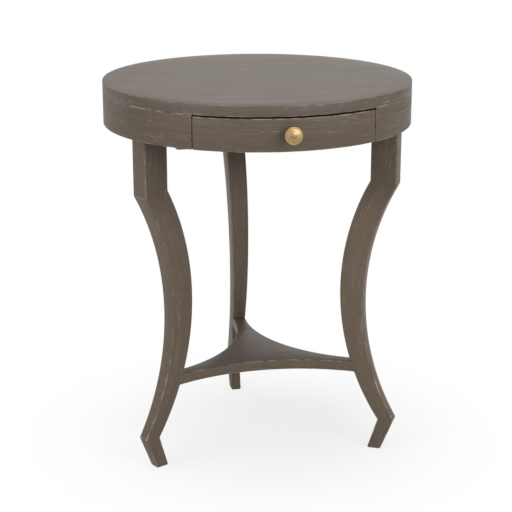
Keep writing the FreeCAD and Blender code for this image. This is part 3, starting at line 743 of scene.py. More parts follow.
def bent_wall_tree() -> GeometryTree:
    """Make the tree of a wall bent around the drum's axis.

    Returns:
        The tree, with inputs for its radius, ends, height, level and thickness.
    """
    sizes = ("Outer Radius", "Thickness", "Height", "Level", "Start", "Sweep")
    made = GeometryTree("bent wall", sizes, ["Steps"])
    radius, thickness, height, level, start, sweep = (made.given(label) for label in sizes)
    arc = made.node("GeometryNodeCurveArc", {
        "Resolution": made.given("Steps"), "Radius": made.maths("SUBTRACT", radius, made.share(thickness, 0.5)),
        "Start Angle": start, "Sweep Angle": sweep}, mode="RADIUS")
    upright = made.node("GeometryNodeSetCurveNormal", {"Curve": arc.outputs["Curve"]}, mode="Z_UP")
    section = made.node("GeometryNodeCurvePrimitiveQuadrilateral", {"Width": thickness, "Height": height},
                        mode="RECTANGLE")
    wall = made.node("GeometryNodeCurveToMesh", {
        "Curve": upright.outputs["Curve"], "Profile Curve": section.outputs["Curve"], "Fill Caps": True})
    made.finish(made.raised(wall.outputs["Mesh"], made.maths("ADD", level, made.share(height, 0.5))))
    return made


@dataclass(frozen=True)
class Screw:
    """A countersunk screw: its faces around, and its recess in shares of the head."""

    bar_sides: int = 16
    head_sides: int = 24
    hexagon_sides: int = 6
    slot_length: float = 1.15
    slot_width: float = 0.24
    hexagon: float = 0.5
    recess_out: float = 0.1

    def tree(self, drive: Drive) -> GeometryTree:
        """Make the tree that puts a screw on each point.

        Args:
            drive: The recess in its head.

        Returns:
            The tree, with inputs for the screw's sizes.
        """
        sizes = ("Shank Radius", "Head Radius", "Length")
        made = GeometryTree(f"{drive.value} fastener", sizes, takes_mesh=True)
        shank, head, length = (made.given(label) for label in sizes)
        depth = made.maths("SUBTRACT", head, shank)
        bar = made.node("GeometryNodeMeshCylinder", {
            "Vertices": self.bar_sides, "Radius": shank, "Depth": made.maths("SUBTRACT", length, depth)})
        placed = made.raised(bar.outputs["Mesh"], made.share(made.maths("ADD", length, depth), 0.5))
        cone = made.node("GeometryNodeMeshCone", {
            "Vertices": self.head_sides, "Radius Bottom": head, "Radius Top": shank, "Depth": depth})
        if drive is Drive.CROSS:
            slot = made.vector(made.share(head, self.slot_length), made.share(head, self.slot_width), depth)
            blade = made.node("GeometryNodeMeshCube", {"Size": slot}).outputs["Mesh"]
            turned = made.node("GeometryNodeTransform", {
                "Geometry": blade, "Rotation": (0.0, 0.0, math.radians(90.0))}).outputs["Geometry"]
            cutter = made.node("GeometryNodeJoinGeometry", {"Geometry": [blade, turned]})
        else:
            cutter = made.node("GeometryNodeMeshCylinder", {
                "Vertices": self.hexagon_sides, "Radius": made.share(head, self.hexagon), "Depth": depth})
        recess = made.raised(cutter.outputs[0], made.share(depth, -self.recess_out))
        cut = made.node("GeometryNodeMeshBoolean", {"Mesh 1": cone.outputs["Mesh"], "Mesh 2": recess},
                        operation="DIFFERENCE")
        whole = made.node("GeometryNodeJoinGeometry", {"Geometry": [placed, cut.outputs["Mesh"]]})
        turn = made.node("GeometryNodeInputNamedAttribute", {"Name": "turn"}, data_type="FLOAT_VECTOR")
        spread = made.node("GeometryNodeInstanceOnPoints", {
            "Points": made.given("Geometry"), "Instance": whole.outputs["Geometry"],
            "Rotation": turn.outputs["Attribute"]})
        made.finish(spread.outputs["Instances"])
        return made


# Sub-assemblies


@dataclass
class Drum:
    """The round slab, the bent apron and the drawer's curved front."""

    radius: float = 0.280
    height: float = 0.700
    slab: float = 0.019
    apron: float = 0.059
    wall: float = 0.014
    half_angle: float = 34.35
    side_gap: float = 0.0019
    top_gap: float = 0.003
    ease: float = 0.0016
    crease: float = 40.0
    steps: int = 288
    least_steps: int = 8
    slab_rings: tuple[float, ...] = (0.0, 0.25, 0.5, 0.75, 0.9, 1.0)
    face_from: float = 0.9
    under_rim: float = 0.6
    under_rim_wear: float = 1.2
    top_rim_wear: float = 0.55
    wall_wear: float = 1.3
    wall_uprights: float = 0.3
    wall_under: float = 0.8
    apron_top: float = 0.6
    drawer_top: float = 0.8

    @property
    def slab_under(self) -> float:
        """Level of the slab's underside."""
        return self.height - self.slab

    @property
    def apron_under(self) -> float:
        """Level of the apron's lower edge."""
        return self.slab_under - self.apron

    def build_slab(self, material: Material) -> None:
        """Build and dress the round slab.

        Args:
            material: Its finish.
        """
        reaches = [self.radius * share for share in self.slab_rings]
        profile = [(reach, self.slab_under) for reach in reaches]
        profile += [(reach, self.height) for reach in reversed(reaches)]
        piece = new_object("top_panel_finished", lathe("top_panel_finished", profile, self.steps))
        middle = self.height - self.slab / 2.0
        Woodwork(
            self.ease, crease=self.crease,
            weigh=lambda first, second: 1.0 if first.z > middle else self.under_rim,
            lay=lambda corners: np.where(np.abs(corners.normals[:, 2:]) > self.face_from,
                                         board_lay(corners), ring_lay(corners)),
            wear=lambda corners: np.where(corners.places[:, 2] > middle, self.top_rim_wear,
                                          self.under_rim_wear)).work(piece)
        dress(piece, Body.TABLE, material, Slot.TAUPE, "top_panel")

    def build_wall(self, name: str, half_sweep: float, height: float, top_weight: float,
                   tree: GeometryTree, middle: float = 0.0) -> Object:
        """Build one stretch of the drum's wall.

        Args:
            name: The piece's name.
            half_sweep: Angle from its middle to its ends, in degrees.
            height: Its height above the apron's lower edge.
            top_weight: Rounding of its upper arris, as a share.
            tree: The tree of a bent wall.
            middle: Azimuth of its middle, in degrees.

        Returns:
            The piece, not yet dressed.
        """
        piece = new_object(name, bpy.data.meshes.new(name))
        start, sweep = middle - half_sweep, 2.0 * half_sweep
        tree.grow(piece, {
            "Outer Radius": self.radius, "Thickness": self.wall, "Height": height, "Level": self.apron_under,
            "Start": math.radians(start - 90.0), "Sweep": math.radians(sweep),
            "Steps": max(self.least_steps, round(self.steps * sweep / 360.0)),
        })
        top = self.apron_under + height

        def weigh(first: Vector, second: Vector) -> float:
            """Round the uprights, the upper arrises and the lower ones by their own shares."""
            share = top_weight if min(first.z, second.z) > top - self.ease else self.wall_under
            return self.wall_uprights if abs(first.z - second.z) > self.ease else share

        # the wall's faces in the drawer's gaps get painted shade, a near-black stain
        Woodwork(self.ease, weigh, ring_lay, evenly(self.wall_wear), gap_painted_shade, self.crease).work(piece)
        return piece

    def build(self, flat: Material, paint: Material) -> None:
        """Build and dress the drum.

        Args:
            flat: Finish of the slab.
            paint: Finish of the apron and the drawer front.
        """
        tree = bent_wall_tree()
        self.build_slab(flat)
        rest = 180.0 - self.half_angle
        apron = self.build_wall("apron_ring_finished", rest, self.apron, self.apron_top, tree, 180.0)
        dress(apron, Body.TABLE, paint, Slot.TAUPE, "apron_ring")
        half = self.half_angle - math.degrees(self.side_gap / self.radius)
        front = self.build_wall("drawer_front_finished", half, self.apron - self.top_gap, self.drawer_top, tree)
        dress(front, Body.DRAWER, paint, Slot.TAUPE, "drawer_front")


@dataclass
class Leg:
    """One swept leg, drawn in the upright plane through the drum's axis."""

    place: str
    azimuth: float
    outer_reach: float = 0.2653
    depth: float = 0.048
    top: float = 0.681
    shoulder: float = 0.517
    shoulder_step: float = 0.009
    sweep: float = 0.456
    toe: float = 0.271
    toe_level: float = 0.063
    toe_depth: float = 0.031
    toe_step: float = 0.002
    foot: float = 0.246
    foot_depth: float = 0.025
    top_width: float = 0.038
    foot_width: float = 0.020
    shelf_low: float = 0.1529
    shelf_high: float = 0.1721
    housing: float = 0.19732
    ease: float = 0.0035
    ease_share: float = 0.66
    steps: int = 56
    notch_share: float = 0.014
    same_spot: float = 1e-7
    grain_turn: float = 40.0
    # painted shade: a near-black stain on the leg's sides and inside stands in for the drum's shadow, rising
    # between these two levels; the outer faces take only a little
    painted_shade_from: float = 0.44
    painted_shade_to: float = 0.56
    painted_shade_share: float = 0.54
    painted_shade_outside: float = 0.04
    wear_least: float = 0.42
    wear_corners: float = 0.3
    wear_corner_reach: float = 0.014
    wear_lower: float = 0.5
    wear_lower_toes: float = 1.8

    @property
    def outer(self) -> tuple[Pair, Pair]:
        """Ends of the outer swept face."""
        return (self.outer_reach, self.shoulder), (self.toe, self.toe_level)

    @property
    def inner(self) -> tuple[Pair, Pair]:
        """Ends of the inner swept face."""
        return ((self.outer_reach - self.depth, self.shoulder + self.shoulder_step),
                (self.toe - self.toe_depth, self.toe_level - self.toe_step))

    def arc_centre(self, upper: Pair, lower: Pair) -> Pair:
        """Find the centre of a swept face.

        Args:
            upper: Its upper end, as reach and level.
            lower: Its lower end.

        Returns:
            The centre, on the far side from the drum's axis.
        """
        run, drop = lower[0] - upper[0], upper[1] - lower[1]
        chord = math.hypot(run, drop)
        rise = math.sqrt(self.sweep ** 2 - chord ** 2 / 4.0)
        return ((upper[0] + lower[0]) / 2.0 + rise * drop / chord,
                (upper[1] + lower[1]) / 2.0 + rise * run / chord)

    def on_arc(self, face: tuple[Pair, Pair], share: float) -> Pair:
        """Give a point of a swept face.

        Args:
            face: The face's ends.
            share: Share of its height, from the top.

        Returns:
            The point, as reach and level.
        """
        (_, high), (_, low) = face
        across, middle = self.arc_centre(*face)
        level = high - share * (high - low)
        return across - math.sqrt(self.sweep ** 2 - (level - middle) ** 2), level

    def stations(self) -> list[tuple[Pair, Pair]]:
        """List pairs of outer and inner points from the top to the floor.

        Returns:
            Pairs of points, each as reach and level.
        """
        (inner_reach, high), (_, low) = self.inner
        notch = [(high - level) / (high - low) for level in (self.shelf_high, self.shelf_low)]
        start, end = notch[0] - self.notch_share, notch[1] + self.notch_share
        shares = [step / self.steps for step in range(self.steps + 1)]
        pairs = [((self.outer_reach, self.top), (inner_reach, self.top))]
        for share in sorted([*(share for share in shares if not start < share < end), *notch]):
            outside, inside = self.on_arc(self.outer, share), self.on_arc(self.inner, share)
            points = [inside, (self.housing, inside[1])] if share in notch else [inside]
            pairs += [(outside, point) for point in (points[::-1] if share == notch[1] else points)]
        return [*pairs, ((self.foot, 0.0), (self.foot - self.foot_depth, 0.0))]

    def width(self, level: float) -> float:
        """Give the leg's width at a level."""
        return self.foot_width + (self.top_width - self.foot_width) * min(level / self.shoulder, 1.0)

    def local(self, points: np.ndarray) -> np.ndarray:
        """Turn places to reach, distance aside and level."""
        outward, sideways = compass(self.azimuth)
        return np.stack([points @ outward, points @ sideways, points[:, 2]], 1)

    def build(self, material: Material) -> None:
        """Build and dress the leg.

        Args:
            material: Its finish.
        """
        name = f"leg_{self.place}_finished"
        mesh = bpy.data.meshes.new(name)
        with editing(mesh) as made:
            self.cast(made)
        piece = new_object(name, mesh)
        # the leg's upper sides get painted shade under the drum
        Woodwork(self.ease, self.weigh, self.lay, self.wear, self.painted_shade).work(piece)
        dress(piece, Body.TABLE, material, Slot.TAUPE, f"leg_{self.place}")

    def cast(self, made: bmesh.types.BMesh) -> None:
        """Make the leg's faces, without slivers that would stop the rounding.

        Args:
            made: The empty mesh that they go into.
        """
        outward, sideways = (Vector(part) for part in compass(self.azimuth))
        known: dict[tuple[int, ...], bmesh.types.BMVert] = {}

        def corner(point: Pair, side: float) -> bmesh.types.BMVert:
            """Give the vertex at a place.

            Args:
                point: Reach and level of the place.
                side: The leg's side, -1 or 1.

            Returns:
                The vertex, made if it is new.
            """
            reach, level = point
            place = outward * reach + sideways * (side * self.width(level) / 2.0)
            place.z = level
            key = tuple(round(part / self.same_spot) for part in place)
            if key not in known:
                known[key] = made.verts.new(place)
            return known[key]

        rings = [[corner(outer, -1.0), corner(outer, 1.0), corner(inner, 1.0), corner(inner, -1.0)]
                 for outer, inner in self.stations()]
        add_face(made, rings[0])
        add_face(made, rings[-1][::-1])
        for upper, lower in zip(rings, rings[1:]):
            for side in range(4):
                after = (side + 1) % 4
                add_face(made, [upper[side], lower[side], lower[after], upper[after]])
        slivers = [item for item in made.faces if len(item.verts) == 3]
        longest = [max(item.edges, key=lambda edge: edge.calc_length()) for item in slivers]
        bmesh.ops.dissolve_edges(made, edges=longest)
        bmesh.ops.recalc_face_normals(made, faces=made.faces)

    def weigh(self, first: Vector, second: Vector) -> float:
        """Round the foot most, and leave the leg's top and the shelf's housing.

        Args:
            first: One end of an edge.
            second: Its other end.

        Returns:
            The edge's share of the rounding.
        """
        low, high = sorted((first.z, second.z))
        reach = self.local(np.array([first, second], float))[:, 0].max()
        housed = low > self.shelf_low - self.ease and high < self.shelf_high + self.ease
        if low > self.top - self.ease or (housed and reach < self.housing + self.ease):
            return 0.0
        return 1.0 if high < self.ease else self.ease_share

    def lay(self, corners: Corners) -> np.ndarray:
        """Lay the grain down the leg, bent with it.

        Args:
            corners: The face corners.

        Returns:
            Coordinates along the grain, across it and through it.
        """
        spot = self.local(corners.places)
        across, middle = self.arc_centre(*self.outer)
        level = np.clip(spot[:, 2], self.toe_level, self.shoulder)
        bend = across - np.sqrt(self.sweep ** 2 - (level - middle) ** 2)
        tuck = np.clip(self.toe_level - spot[:, 2], 0.0, None) * (self.toe - self.foot) / self.toe_level
        seed = self.azimuth / self.grain_turn
        return np.stack([spot[:, 2] + seed, spot[:, 0] - bend + tuck, spot[:, 1] + seed], 1)

    def painted_shade(self, corners: Corners) -> np.ndarray:
        """Paint shade on the sides and the inside of the leg's top, where the drum's shadow falls.

        Args:
            corners: The face corners.

        Returns:
            A share of painted shade for each corner.
        """
        facing = self.local(corners.normals)[:, 0]
        rise = (corners.places[:, 2] - self.painted_shade_from) / (self.painted_shade_to - self.painted_shade_from)
        rise = np.clip(rise, 0.0, 1.0)
        return np.where(facing > 0.5, self.painted_shade_outside, self.painted_shade_share) * rise * rise * (3.0 - 2.0 * rise)

    def wear(self, corners: Corners) -> np.ndarray:
        """Wear the arrises all along, more at shoulder, toe and floor, and most over the toe.

        Args:
            corners: The face corners.

        Returns:
            A factor of wear for each corner.
        """
        level = corners.places[:, 2]
        near = sum(np.exp(-((level - spot) / self.wear_corner_reach) ** 2)
                   for spot in (self.shoulder, self.toe_level, 0.0))
        lower = np.exp(-((level - self.wear_lower_toes * self.toe_level) / self.toe_level) ** 2)
        return self.wear_least + self.wear_corners * np.clip(near, 0.0, 1.0) + self.wear_lower * lower


@dataclass
class LowerShelf:
    """The three-armed shelf with hollow sides, let into the legs."""

    top: float = 0.172
    thickness: float = 0.019
    neck: float = 0.18502
    end: float = 0.19722
    arm_width: float = 0.02566
    front_sweep: float = 0.350
    side_sweep: float = 0.268
    ease: float = 0.0018
    wear: float = 0.75
    steps: int = 40

    def hollow(self, start: Vector, end: Vector, radius: float) -> list[Vector]:
        """List the points of a hollow edge between two arms.

        Args:
            start: End of one arm's side.
            end: Start of the next arm's side.
            radius: Radius of the edge.

        Returns:
            Points between the two, without them.
        """
        chord = end - start
        rise = math.sqrt(radius ** 2 - chord.length_squared / 4.0)
        centre = (start + end) / 2.0 + Vector((chord.y, -chord.x)).normalized() * rise
        first = start - centre
        turn = first.angle_signed(end - centre)
        points = []
        for step in range(1, self.steps):
            arm = first.copy()
            arm.rotate(Matrix.Rotation(-turn * step / self.steps, 2))
            points.append(centre + arm)
        return points

    def outline(self, azimuths: Sequence[float]) -> list[Vector]:
        """List the corners of the shelf in plan.

        Args:
            azimuths: Azimuths of the arms, anticlockwise from above.

        Returns:
            The corners, anticlockwise.
        """
        arms = []
        for azimuth in azimuths:
            outward, sideways = (Vector(part[:2]) for part in compass(azimuth))
            sideways = sideways * self.arm_width / 2.0
            arms.append([outward * self.neck - sideways, outward * self.end - sideways,
                         outward * self.end + sideways, outward * self.neck + sideways])
        sweeps = (self.side_sweep, self.side_sweep, self.front_sweep)
        return [point for arm, following, sweep in zip(arms, [*arms[1:], arms[0]], sweeps)
                for point in [*arm, *self.hollow(arm[-1], following[0], sweep)]]

    def weigh(self, first: Vector, second: Vector) -> float:
        """Round the long edges, not the ends inside the legs."""
        ending = min(first.xy.length, second.xy.length) > self.end - self.ease
        return 0.0 if ending or abs(first.z - second.z) > self.ease else 1.0

    def build(self, azimuths: Sequence[float], material: Material) -> None:
        """Build and dress the shelf.

        Args:
            azimuths: Azimuths of the arms, anticlockwise from above.
            material: Its finish.
        """
        mesh = bpy.data.meshes.new("lower_shelf_finished")
        with editing(mesh) as made:
            floor, roof = ([made.verts.new((*point, level)) for point in self.outline(azimuths)]
                           for level in (self.top - self.thickness, self.top))
            made.faces.new(roof)
            made.faces.new(floor[::-1])
            for index in range(len(roof)):
                after = (index + 1) % len(roof)
                made.faces.new((floor[index], floor[after], roof[after], roof[index]))
            bmesh.ops.recalc_face_normals(made, faces=made.faces)
        piece = new_object("lower_shelf_finished", mesh)
        Woodwork(self.ease, self.weigh, board_lay, evenly(self.wear)).work(piece)
        dress(piece, Body.TABLE, material, Slot.TAUPE, "lower_shelf")


@dataclass
class Knob:
    """The turned knob, as pairs of radius and distance from the drawer front."""

    seat: float = -0.280
    level: float = 0.653
    radius: float = 0.015
    steps: int = 72
    crease: float = 50.0
    stem: tuple[Pair, ...] = (
        (0.0, 0.0), (0.0078, 0.0), (0.0080, 0.0003), (0.0080, 0.0014), (0.0076, 0.0019), (0.0064, 0.0024),
        (0.0054, 0.0033), (0.0050, 0.0046), (0.0049, 0.0080), (0.0051, 0.0112), (0.0060, 0.0138),
        (0.0078, 0.0158), (0.0104, 0.0171), (0.0126, 0.0180))
    rim: float = 0.00115
    rim_middle: float = 0.0200
    rim_start: float = -80.0
    rim_sweep: float = 235.0
    rim_steps: int = 12
    cone: tuple[Pair, ...] = (
        (0.0124, 0.0206), (0.0118, 0.0207), (0.0095, 0.0214), (0.0070, 0.0222), (0.0048, 0.0229),
        (0.0032, 0.0235))
    tip: tuple[Pair, ...] = (
        (0.0023, 0.0239), (0.0018, 0.0246), (0.0014, 0.0254), (0.0009, 0.0261), (0.0004, 0.0264),
        (0.0, 0.0265))

    def profile(self) -> list[Pair]:
        """Give the knob's profile: stem and flared back, rolled rim, cone and tip.

        Returns:
            Pairs of radius and distance from the drawer front.
        """
        angles = (math.radians(self.rim_start + self.rim_sweep * step / self.rim_steps)
                  for step in range(self.rim_steps + 1))
        rim = [(self.radius - self.rim + self.rim * math.cos(angle),
                self.rim_middle + self.rim * math.sin(angle)) for angle in angles]
        return [*self.stem, *rim, *self.cone, *self.tip]

    def build(self, material: Material) -> None:
        """Build and dress the knob.

        Args:
            material: Its finish.
        """
        mesh = lathe("knob_finished", self.profile(), self.steps)
        place = Matrix.Translation((0.0, self.seat, self.level))
        mesh.transform(place @ Matrix.Rotation(math.radians(90.0), 4, "X"))
        shade_by_angle(mesh, self.crease)
        dress(new_object("knob_finished", mesh), Body.DRAWER, material, Slot.BRASS, "knob")


@dataclass
class FastenerGroup:
    """A group of like screws or bolts, in place of its plain CAD node."""

    node: str
    body: Body = Body.TABLE
    drive: Drive = Drive.CROSS
    seed: int = 11
    digits: int = 6
    slack: float = 1e-5
    crease: float = 35.0

    def bars(self) -> list[np.ndarray]:
        """Split the CAD node into its separate bars.

        Returns:
            The places of each bar's vertices, from the drum's axis.
        """
        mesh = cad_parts[self.node].data
        places = np.array([vertex.co - AXIS for vertex in mesh.vertices], float).round(self.digits)
        unique, same = np.unique(places, axis=0, return_inverse=True)
        same = same.ravel()
        parent = list(range(len(unique)))

        def root(item: int) -> int:
            """Find the bar that a vertex belongs to."""
            return item if parent[item] == item else root(parent[item])

        for polygon in mesh.polygons:
            corners = [root(int(same[index])) for index in polygon.vertices]
            for other in corners[1:]:
                parent[other] = corners[0]
                corners[0] = root(corners[0])
        labels = np.array([root(item) for item in range(len(unique))])
        return [unique[labels == label] for label in np.unique(labels)]

    def build(self, tree: GeometryTree, material: Material) -> None:
        """Build and dress the group, with each screw's recess turned by chance.

        Args:
            tree: The tree of its kind of fastener.
            material: Its finish.
        """
        chance = random.Random(self.seed)
        heads, turns, sizes = [], [], ORIGIN
        for bar in self.bars():
            centre = bar.mean(0)
            axis = np.linalg.svd(bar - centre)[2][0]
            along = (bar - centre) @ axis
            low, high = along < along.min() + self.slack, along > along.max() - self.slack
            if self.reach(bar[high], axis) > self.reach(bar[low], axis):
                axis, along, low, high = -axis, -along, high, low
            head = centre + axis * along.min()
            line = bar[low].mean(0) - head
            heads.append(head + line - axis * (line @ axis))
            spin = Quaternion((0.0, 0.0, 1.0), chance.uniform(0.0, math.pi))
            turns.append(tuple((Vector(axis).to_track_quat("Z", "Y") @ spin).to_euler()))
            sizes = (self.reach(bar[high], axis), self.reach(bar[low], axis), float(np.ptp(along)))
        name = f"{self.node}_cut"
        mesh = bpy.data.meshes.new(name)
        mesh.from_pydata([tuple(head) for head in heads], [], [])
        layer = mesh.attributes.new("turn", "FLOAT_VECTOR", "POINT")
        layer.data.foreach_set("vector", np.array(turns, np.float32).ravel())
        piece = new_object(name, mesh)
        tree.grow(piece, {**dict(zip(("Shank Radius", "Head Radius", "Length"), sizes)), "Material": material})
        shade_by_angle(piece.data, self.crease)
        dress(piece, self.body, material, Slot.STEEL, self.node)

    @staticmethod
    def reach(end: np.ndarray, axis: np.ndarray) -> float:
        """Give the radius of a bar's end, across its axis."""
        disc = end - end.mean(0)
        return float(np.linalg.norm(disc - np.outer(disc @ axis, axis), axis=1).max())


@dataclass
class HiddenWork:
    """The pieces inside the drum that keep their CAD shape and get better materials."""

    pine: tuple[Colour, Colour] = ((0.50, 0.36, 0.21), (0.38, 0.25, 0.13))
    poplar: tuple[Colour, Colour] = ((0.47, 0.37, 0.24), (0.37, 0.27, 0.16))
    panel_rings: Noise = Noise((1.6, 66.0, 33.0), 3.0, 0.6, distort=0.4)
    leg_angle: float = 62.0
    cleat_angle: float = 140.0

    def coat(self, material: Material, *nodes: str) -> None:
        """Give CAD nodes a material.

        Args:
            material: The material.
            *nodes: The nodes' names.
        """
        for name in nodes:
            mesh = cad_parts[name].data
            mesh.materials.clear()
            mesh.materials.append(material)
            LOG.info("%s: CAD shape, %s", name, material.name)

    def dress(self) -> None:
        """Dress every wooden CAD piece that stays."""
        sides = {"left": -1.0, "right": 1.0}
        pairs = {stem: [f"{stem}_{side}" for side in sides] for stem in (
            "drawer_side", "drawer_runner", "drawer_kicker", "drawer_stop", "opening_block")}
        strips = [*pairs["drawer_kicker"], *pairs["drawer_stop"], *pairs["opening_block"], "drawer_dowels"]
        finishes = [
            (BareWood("drawer side wood", *self.pine, 0.0), pairs["drawer_side"]),
            (BareWood("drawer back wood", *self.pine), ["drawer_back"]),
            (BareWood("drawer panel wood", *self.poplar, rings=self.panel_rings), ["drawer_bottom"]),
            (BlackPaint(), pairs["drawer_runner"]),
            (BareWood("strip wood", *self.poplar, 0.0), strips),
            (BareWood("rail wood", *self.poplar), [
                "front_rail", "rear_rail", "leg_block_back", "shelf_dowels"]),
        ]
        angled = (("leg block wood", "leg_block_front", 90.0, self.leg_angle),
                  ("cleat wood", "apron_cleat", 0.0, 0.0),
                  ("rear cleat wood", "apron_cleat_back", 90.0, self.cleat_angle))
        finishes += [(BareWood(f"{name} {side}", *self.poplar, middle + sign * angle), [f"{stem}_{side}"])
                     for side, sign in sides.items() for name, stem, middle, angle in angled]
        for finish, nodes in finishes:
            self.coat(finish.make(), *nodes)


# Studio


@dataclass
class Studio:
    """The camera, the lamps, the floor and the white surroundings."""

    azimuth: float = -11.5
    distance: float = 2.526
    eye_level: float = 1.1255
    pitch: float = 16.83
    focal_pixels: float = 1400.0
    frame_pixels: float = 512.0
    off_centre: Pair = (1.2, 0.5)
    sensor: float = 36.0
    sky: float = 0.17
    sky_colour: Colour = (0.98, 0.99, 1.0)
    backdrop: Colour = (1.0, 1.0, 1.0)
    sun: float = 1.36
    sun_angle: float = 38.0
    sun_place: Point = (-0.10, -0.02, 1.0)
    softboxes: tuple[Point, ...] = ((-60.0, 1.35, 20.0), (27.0, 1.35, 27.0), (160.0, 0.30, 10.0))
    softbox_reach: float = 2.4
    softbox_size: float = 1.5
    softbox_aim: Point = (0.0, 0.0, 0.4)
    floor_size: float = 30.0
    floor_colour: Colour = (0.68, 0.68, 0.67)
    shadow_colour: Colour = (1.0, 1.0, 0.99)
    shadow_share: float = 0.25
    shadow_near: float = 0.12
    shadow_far: float = 0.56

    def build(self) -> None:
        """Build the whole studio."""
        self.build_camera()
        self.build_world()
        self.build_floor()
        self.build_sun()
        for azimuth, level, watts in self.softboxes:
            self.build_softbox(spot_at(azimuth, self.softbox_reach, level), watts)

    @staticmethod
    def hang(data: bpy.types.ID, place: Vector, aim: Vector) -> Object:
        """Put a camera or a lamp at a place, and turn it.

        Args:
            data: The camera or the light.
            place: Where it is.
            aim: The direction that it points in.

        Returns:
            The object.
        """
        made = new_object(data.name, data)
        made.location = place
        made.rotation_euler = aim.to_track_quat("-Z", "Y").to_euler()
        return made

    def build_camera(self) -> None:
        """Put the camera at the photograph's viewing angle."""
        tilt = math.radians(self.pitch)
        data = bpy.data.cameras.new("camera")
        data.sensor_width = self.sensor
        data.lens = self.sensor * self.focal_pixels / self.frame_pixels
        data.shift_x, data.shift_y = (-pixels / self.frame_pixels for pixels in self.off_centre)
        place = AXIS + spot_at(self.azimuth, self.distance, self.eye_level)
        camera = self.hang(data, place, -spot_at(self.azimuth, math.cos(tilt), math.sin(tilt)))
        bpy.context.scene.camera = camera

    @staticmethod
    def seen_rays(nodes: Nodes) -> Socket:
        """Tell the rays that see the surroundings from those that light the table.

        Args:
            nodes: The node tree.

        Returns:
            A factor that is 1 for camera, glossy and transmission rays.
        """
        path = nodes.node("ShaderNodeLightPath").outputs
        either = nodes.maths("MAXIMUM", path["Is Camera Ray"], path["Is Glossy Ray"])
        return nodes.maths("MAXIMUM", either, path["Is Transmission Ray"])

    def build_world(self) -> None:
        """Surround the table with white, dimmer as a light than as a background."""
        world = bpy.data.worlds.new("studio")
        bpy.context.scene.world = world
        world.use_nodes = True
        nodes = Nodes(world.node_tree)
        light, seen = (nodes.node("ShaderNodeBackground", {"Color": (*colour, 1.0), "Strength": strength})
                       for colour, strength in ((self.sky_colour, self.sky), (self.backdrop, 1.0)))
        chosen = nodes.mixed(self.seen_rays(nodes), light, seen)
        nodes.node("ShaderNodeOutputWorld", {"Surface": chosen.outputs["Shader"]})

    def build_floor(self) -> None:
        """Lay a plain pale floor that keeps the table's shadow."""
        mesh = bpy.data.meshes.new("floor")
        with editing(mesh) as made:
            bmesh.ops.create_grid(made, x_segments=1, y_segments=1, size=self.floor_size)
        floor = new_object("floor", mesh)
        material = bpy.data.materials.new("pale floor")
        material.use_nodes = True
        nodes = Nodes(material.node_tree)
        place = nodes.node("ShaderNodeTexCoord").outputs["Object"]
        reach = nodes.node("ShaderNodeVectorMath", {0: place}, operation="LENGTH").outputs["Value"]
        fade = nodes.spread(reach, self.shadow_near, self.shadow_far, self.shadow_share, 0.0)
        plain, shaded = (nodes.node("ShaderNodeBsdfDiffuse", {"Color": (*colour, 1.0)})
                         for colour in (self.floor_colour, self.shadow_colour))
        lifted = nodes.mixed(fade, nodes.node("ShaderNodeEmission"), shaded)
        chosen = nodes.mixed(self.seen_rays(nodes), plain, lifted)
        nodes.node("ShaderNodeOutputMaterial", {"Surface": chosen.outputs["Shader"]})
        mesh.materials.append(material)

    def build_sun(self) -> None:
        """Hang one wide overhead lamp that lights the top and the floor alike."""
        data = bpy.data.lights.new("overhead", "SUN")
        data.energy = self.sun
        data.angle = math.radians(self.sun_angle)
        self.hang(data, Vector(ORIGIN), -Vector(self.sun_place))

    def build_softbox(self, place: Vector, watts: float) -> None:
        """Stand one soft lamp beside or behind the table, aimed at it.

        Args:
            place: Where it stands, from the origin.
            watts: Its power.
        """
        data = bpy.data.lights.new("softbox", "AREA")
        data.energy = watts
        data.size = self.softbox_size
        self.hang(data, place, Vector(self.softbox_aim) - place)


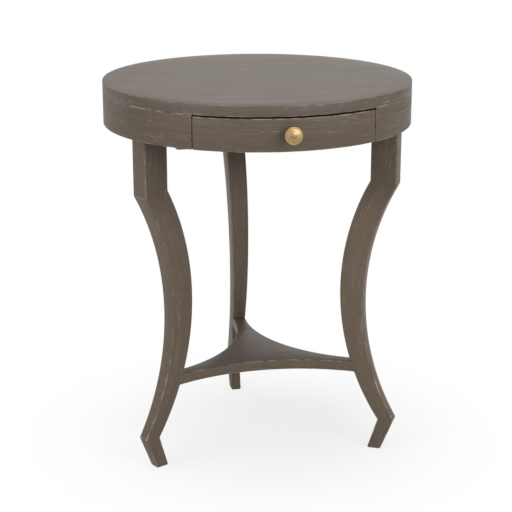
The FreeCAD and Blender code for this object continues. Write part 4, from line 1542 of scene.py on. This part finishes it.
@dataclass
class SideTable:
    """The whole table."""

    drum: Drum = field(default_factory=Drum)
    leg_azimuths: dict[str, float] = field(
        default_factory=lambda: {"front_right": 62.0, "back": 180.0, "front_left": -62.0})
    shelf: LowerShelf = field(default_factory=LowerShelf)
    knob: Knob = field(default_factory=Knob)
    # painted light: a lighter copy of the drum's paint for the legs and the shelf, to make up for the light
    # they lack
    lit_copy_paint: Colour = (0.155, 0.115, 0.083)
    lit_copy_tone: Colour = (0.127, 0.094, 0.067)

    def build(self) -> None:
        """Build and dress every piece."""
        # painted shade: the slab takes a darker copy of the drum's paint, so its rim and top, with their waxed
        # sheen, come out no brighter than the apron
        flat = LimedPaint("taupe paint, waxed_shaded_copy", paint=(0.111, 0.084, 0.061), shade=(0.084, 0.063, 0.045),
                          specular=0.45, limed_from=0.950, limed_share=0.9)
        # painted light: the legs take the lighter copy of the paint
        sawn_lit_copy = LimedPaint("taupe paint on sawn wood", self.lit_copy_paint, self.lit_copy_tone).make()
        # the shelf takes the lighter copy too, with a darker colour on its top as painted shade
        board = LimedPaint("taupe paint on the shelf", self.lit_copy_paint, self.lit_copy_tone, (0.092, 0.063, 0.046))
        self.drum.build(flat.make(), LimedPaint("taupe paint, brushed").make())
        for place, azimuth in self.leg_azimuths.items():
            Leg(place, azimuth).build(sawn_lit_copy)
        self.shelf.build(list(self.leg_azimuths.values()), board.make())
        # the knob's brass has painted shade behind its rim and in the grooves by the rim and the tip
        brass = SatinMetal("satin brass", (0.40, 0.28, 0.13), (0.29, 0.20, 0.085), (0.37, 0.52),
                           (0.0, self.knob.seat + AXIS.y, self.knob.level), metal_shade_reach=0.0200,
                           metal_shade_rings=((0.0125, 0.0008, 0.3), (0.0027, 0.0010, 0.35)))
        self.knob.build(brass.make())
        self.build_fasteners()
        HiddenWork().dress()

    def build_fasteners(self) -> None:
        """Build and dress the screws, the bolts and the pins."""
        zinc = SatinMetal("zinc plate", (0.60, 0.60, 0.57), (0.46, 0.45, 0.40), (0.33, 0.48)).make()
        trees = {drive: Screw().tree(drive) for drive in Drive}
        stems = ("leg_block", "cleat_slab", "cleat_apron", "rear_rail", "front_rail", "kicker", "runner_rear",
                 "runner_front")
        groups = [FastenerGroup("leg_bolts", drive=Drive.HEXAGON),
                  *(FastenerGroup(f"{stem}_screws") for stem in stems),
                  *(FastenerGroup(node, Body.DRAWER) for node in ("drawer_back_screws", "knob_screw"))]
        for group in groups:
            group.build(trees[group.drive], zinc)
        HiddenWork().coat(zinc, "drawer_bottom_pins")


def main() -> None:
    """Build the table and its studio."""
    logging.basicConfig(level=logging.INFO, format="%(name)s: %(message)s")
    bpy.context.scene.view_settings.view_transform = "Standard"
    SideTable().build()
    Studio().build()


if __name__ == "__main__":
    main()
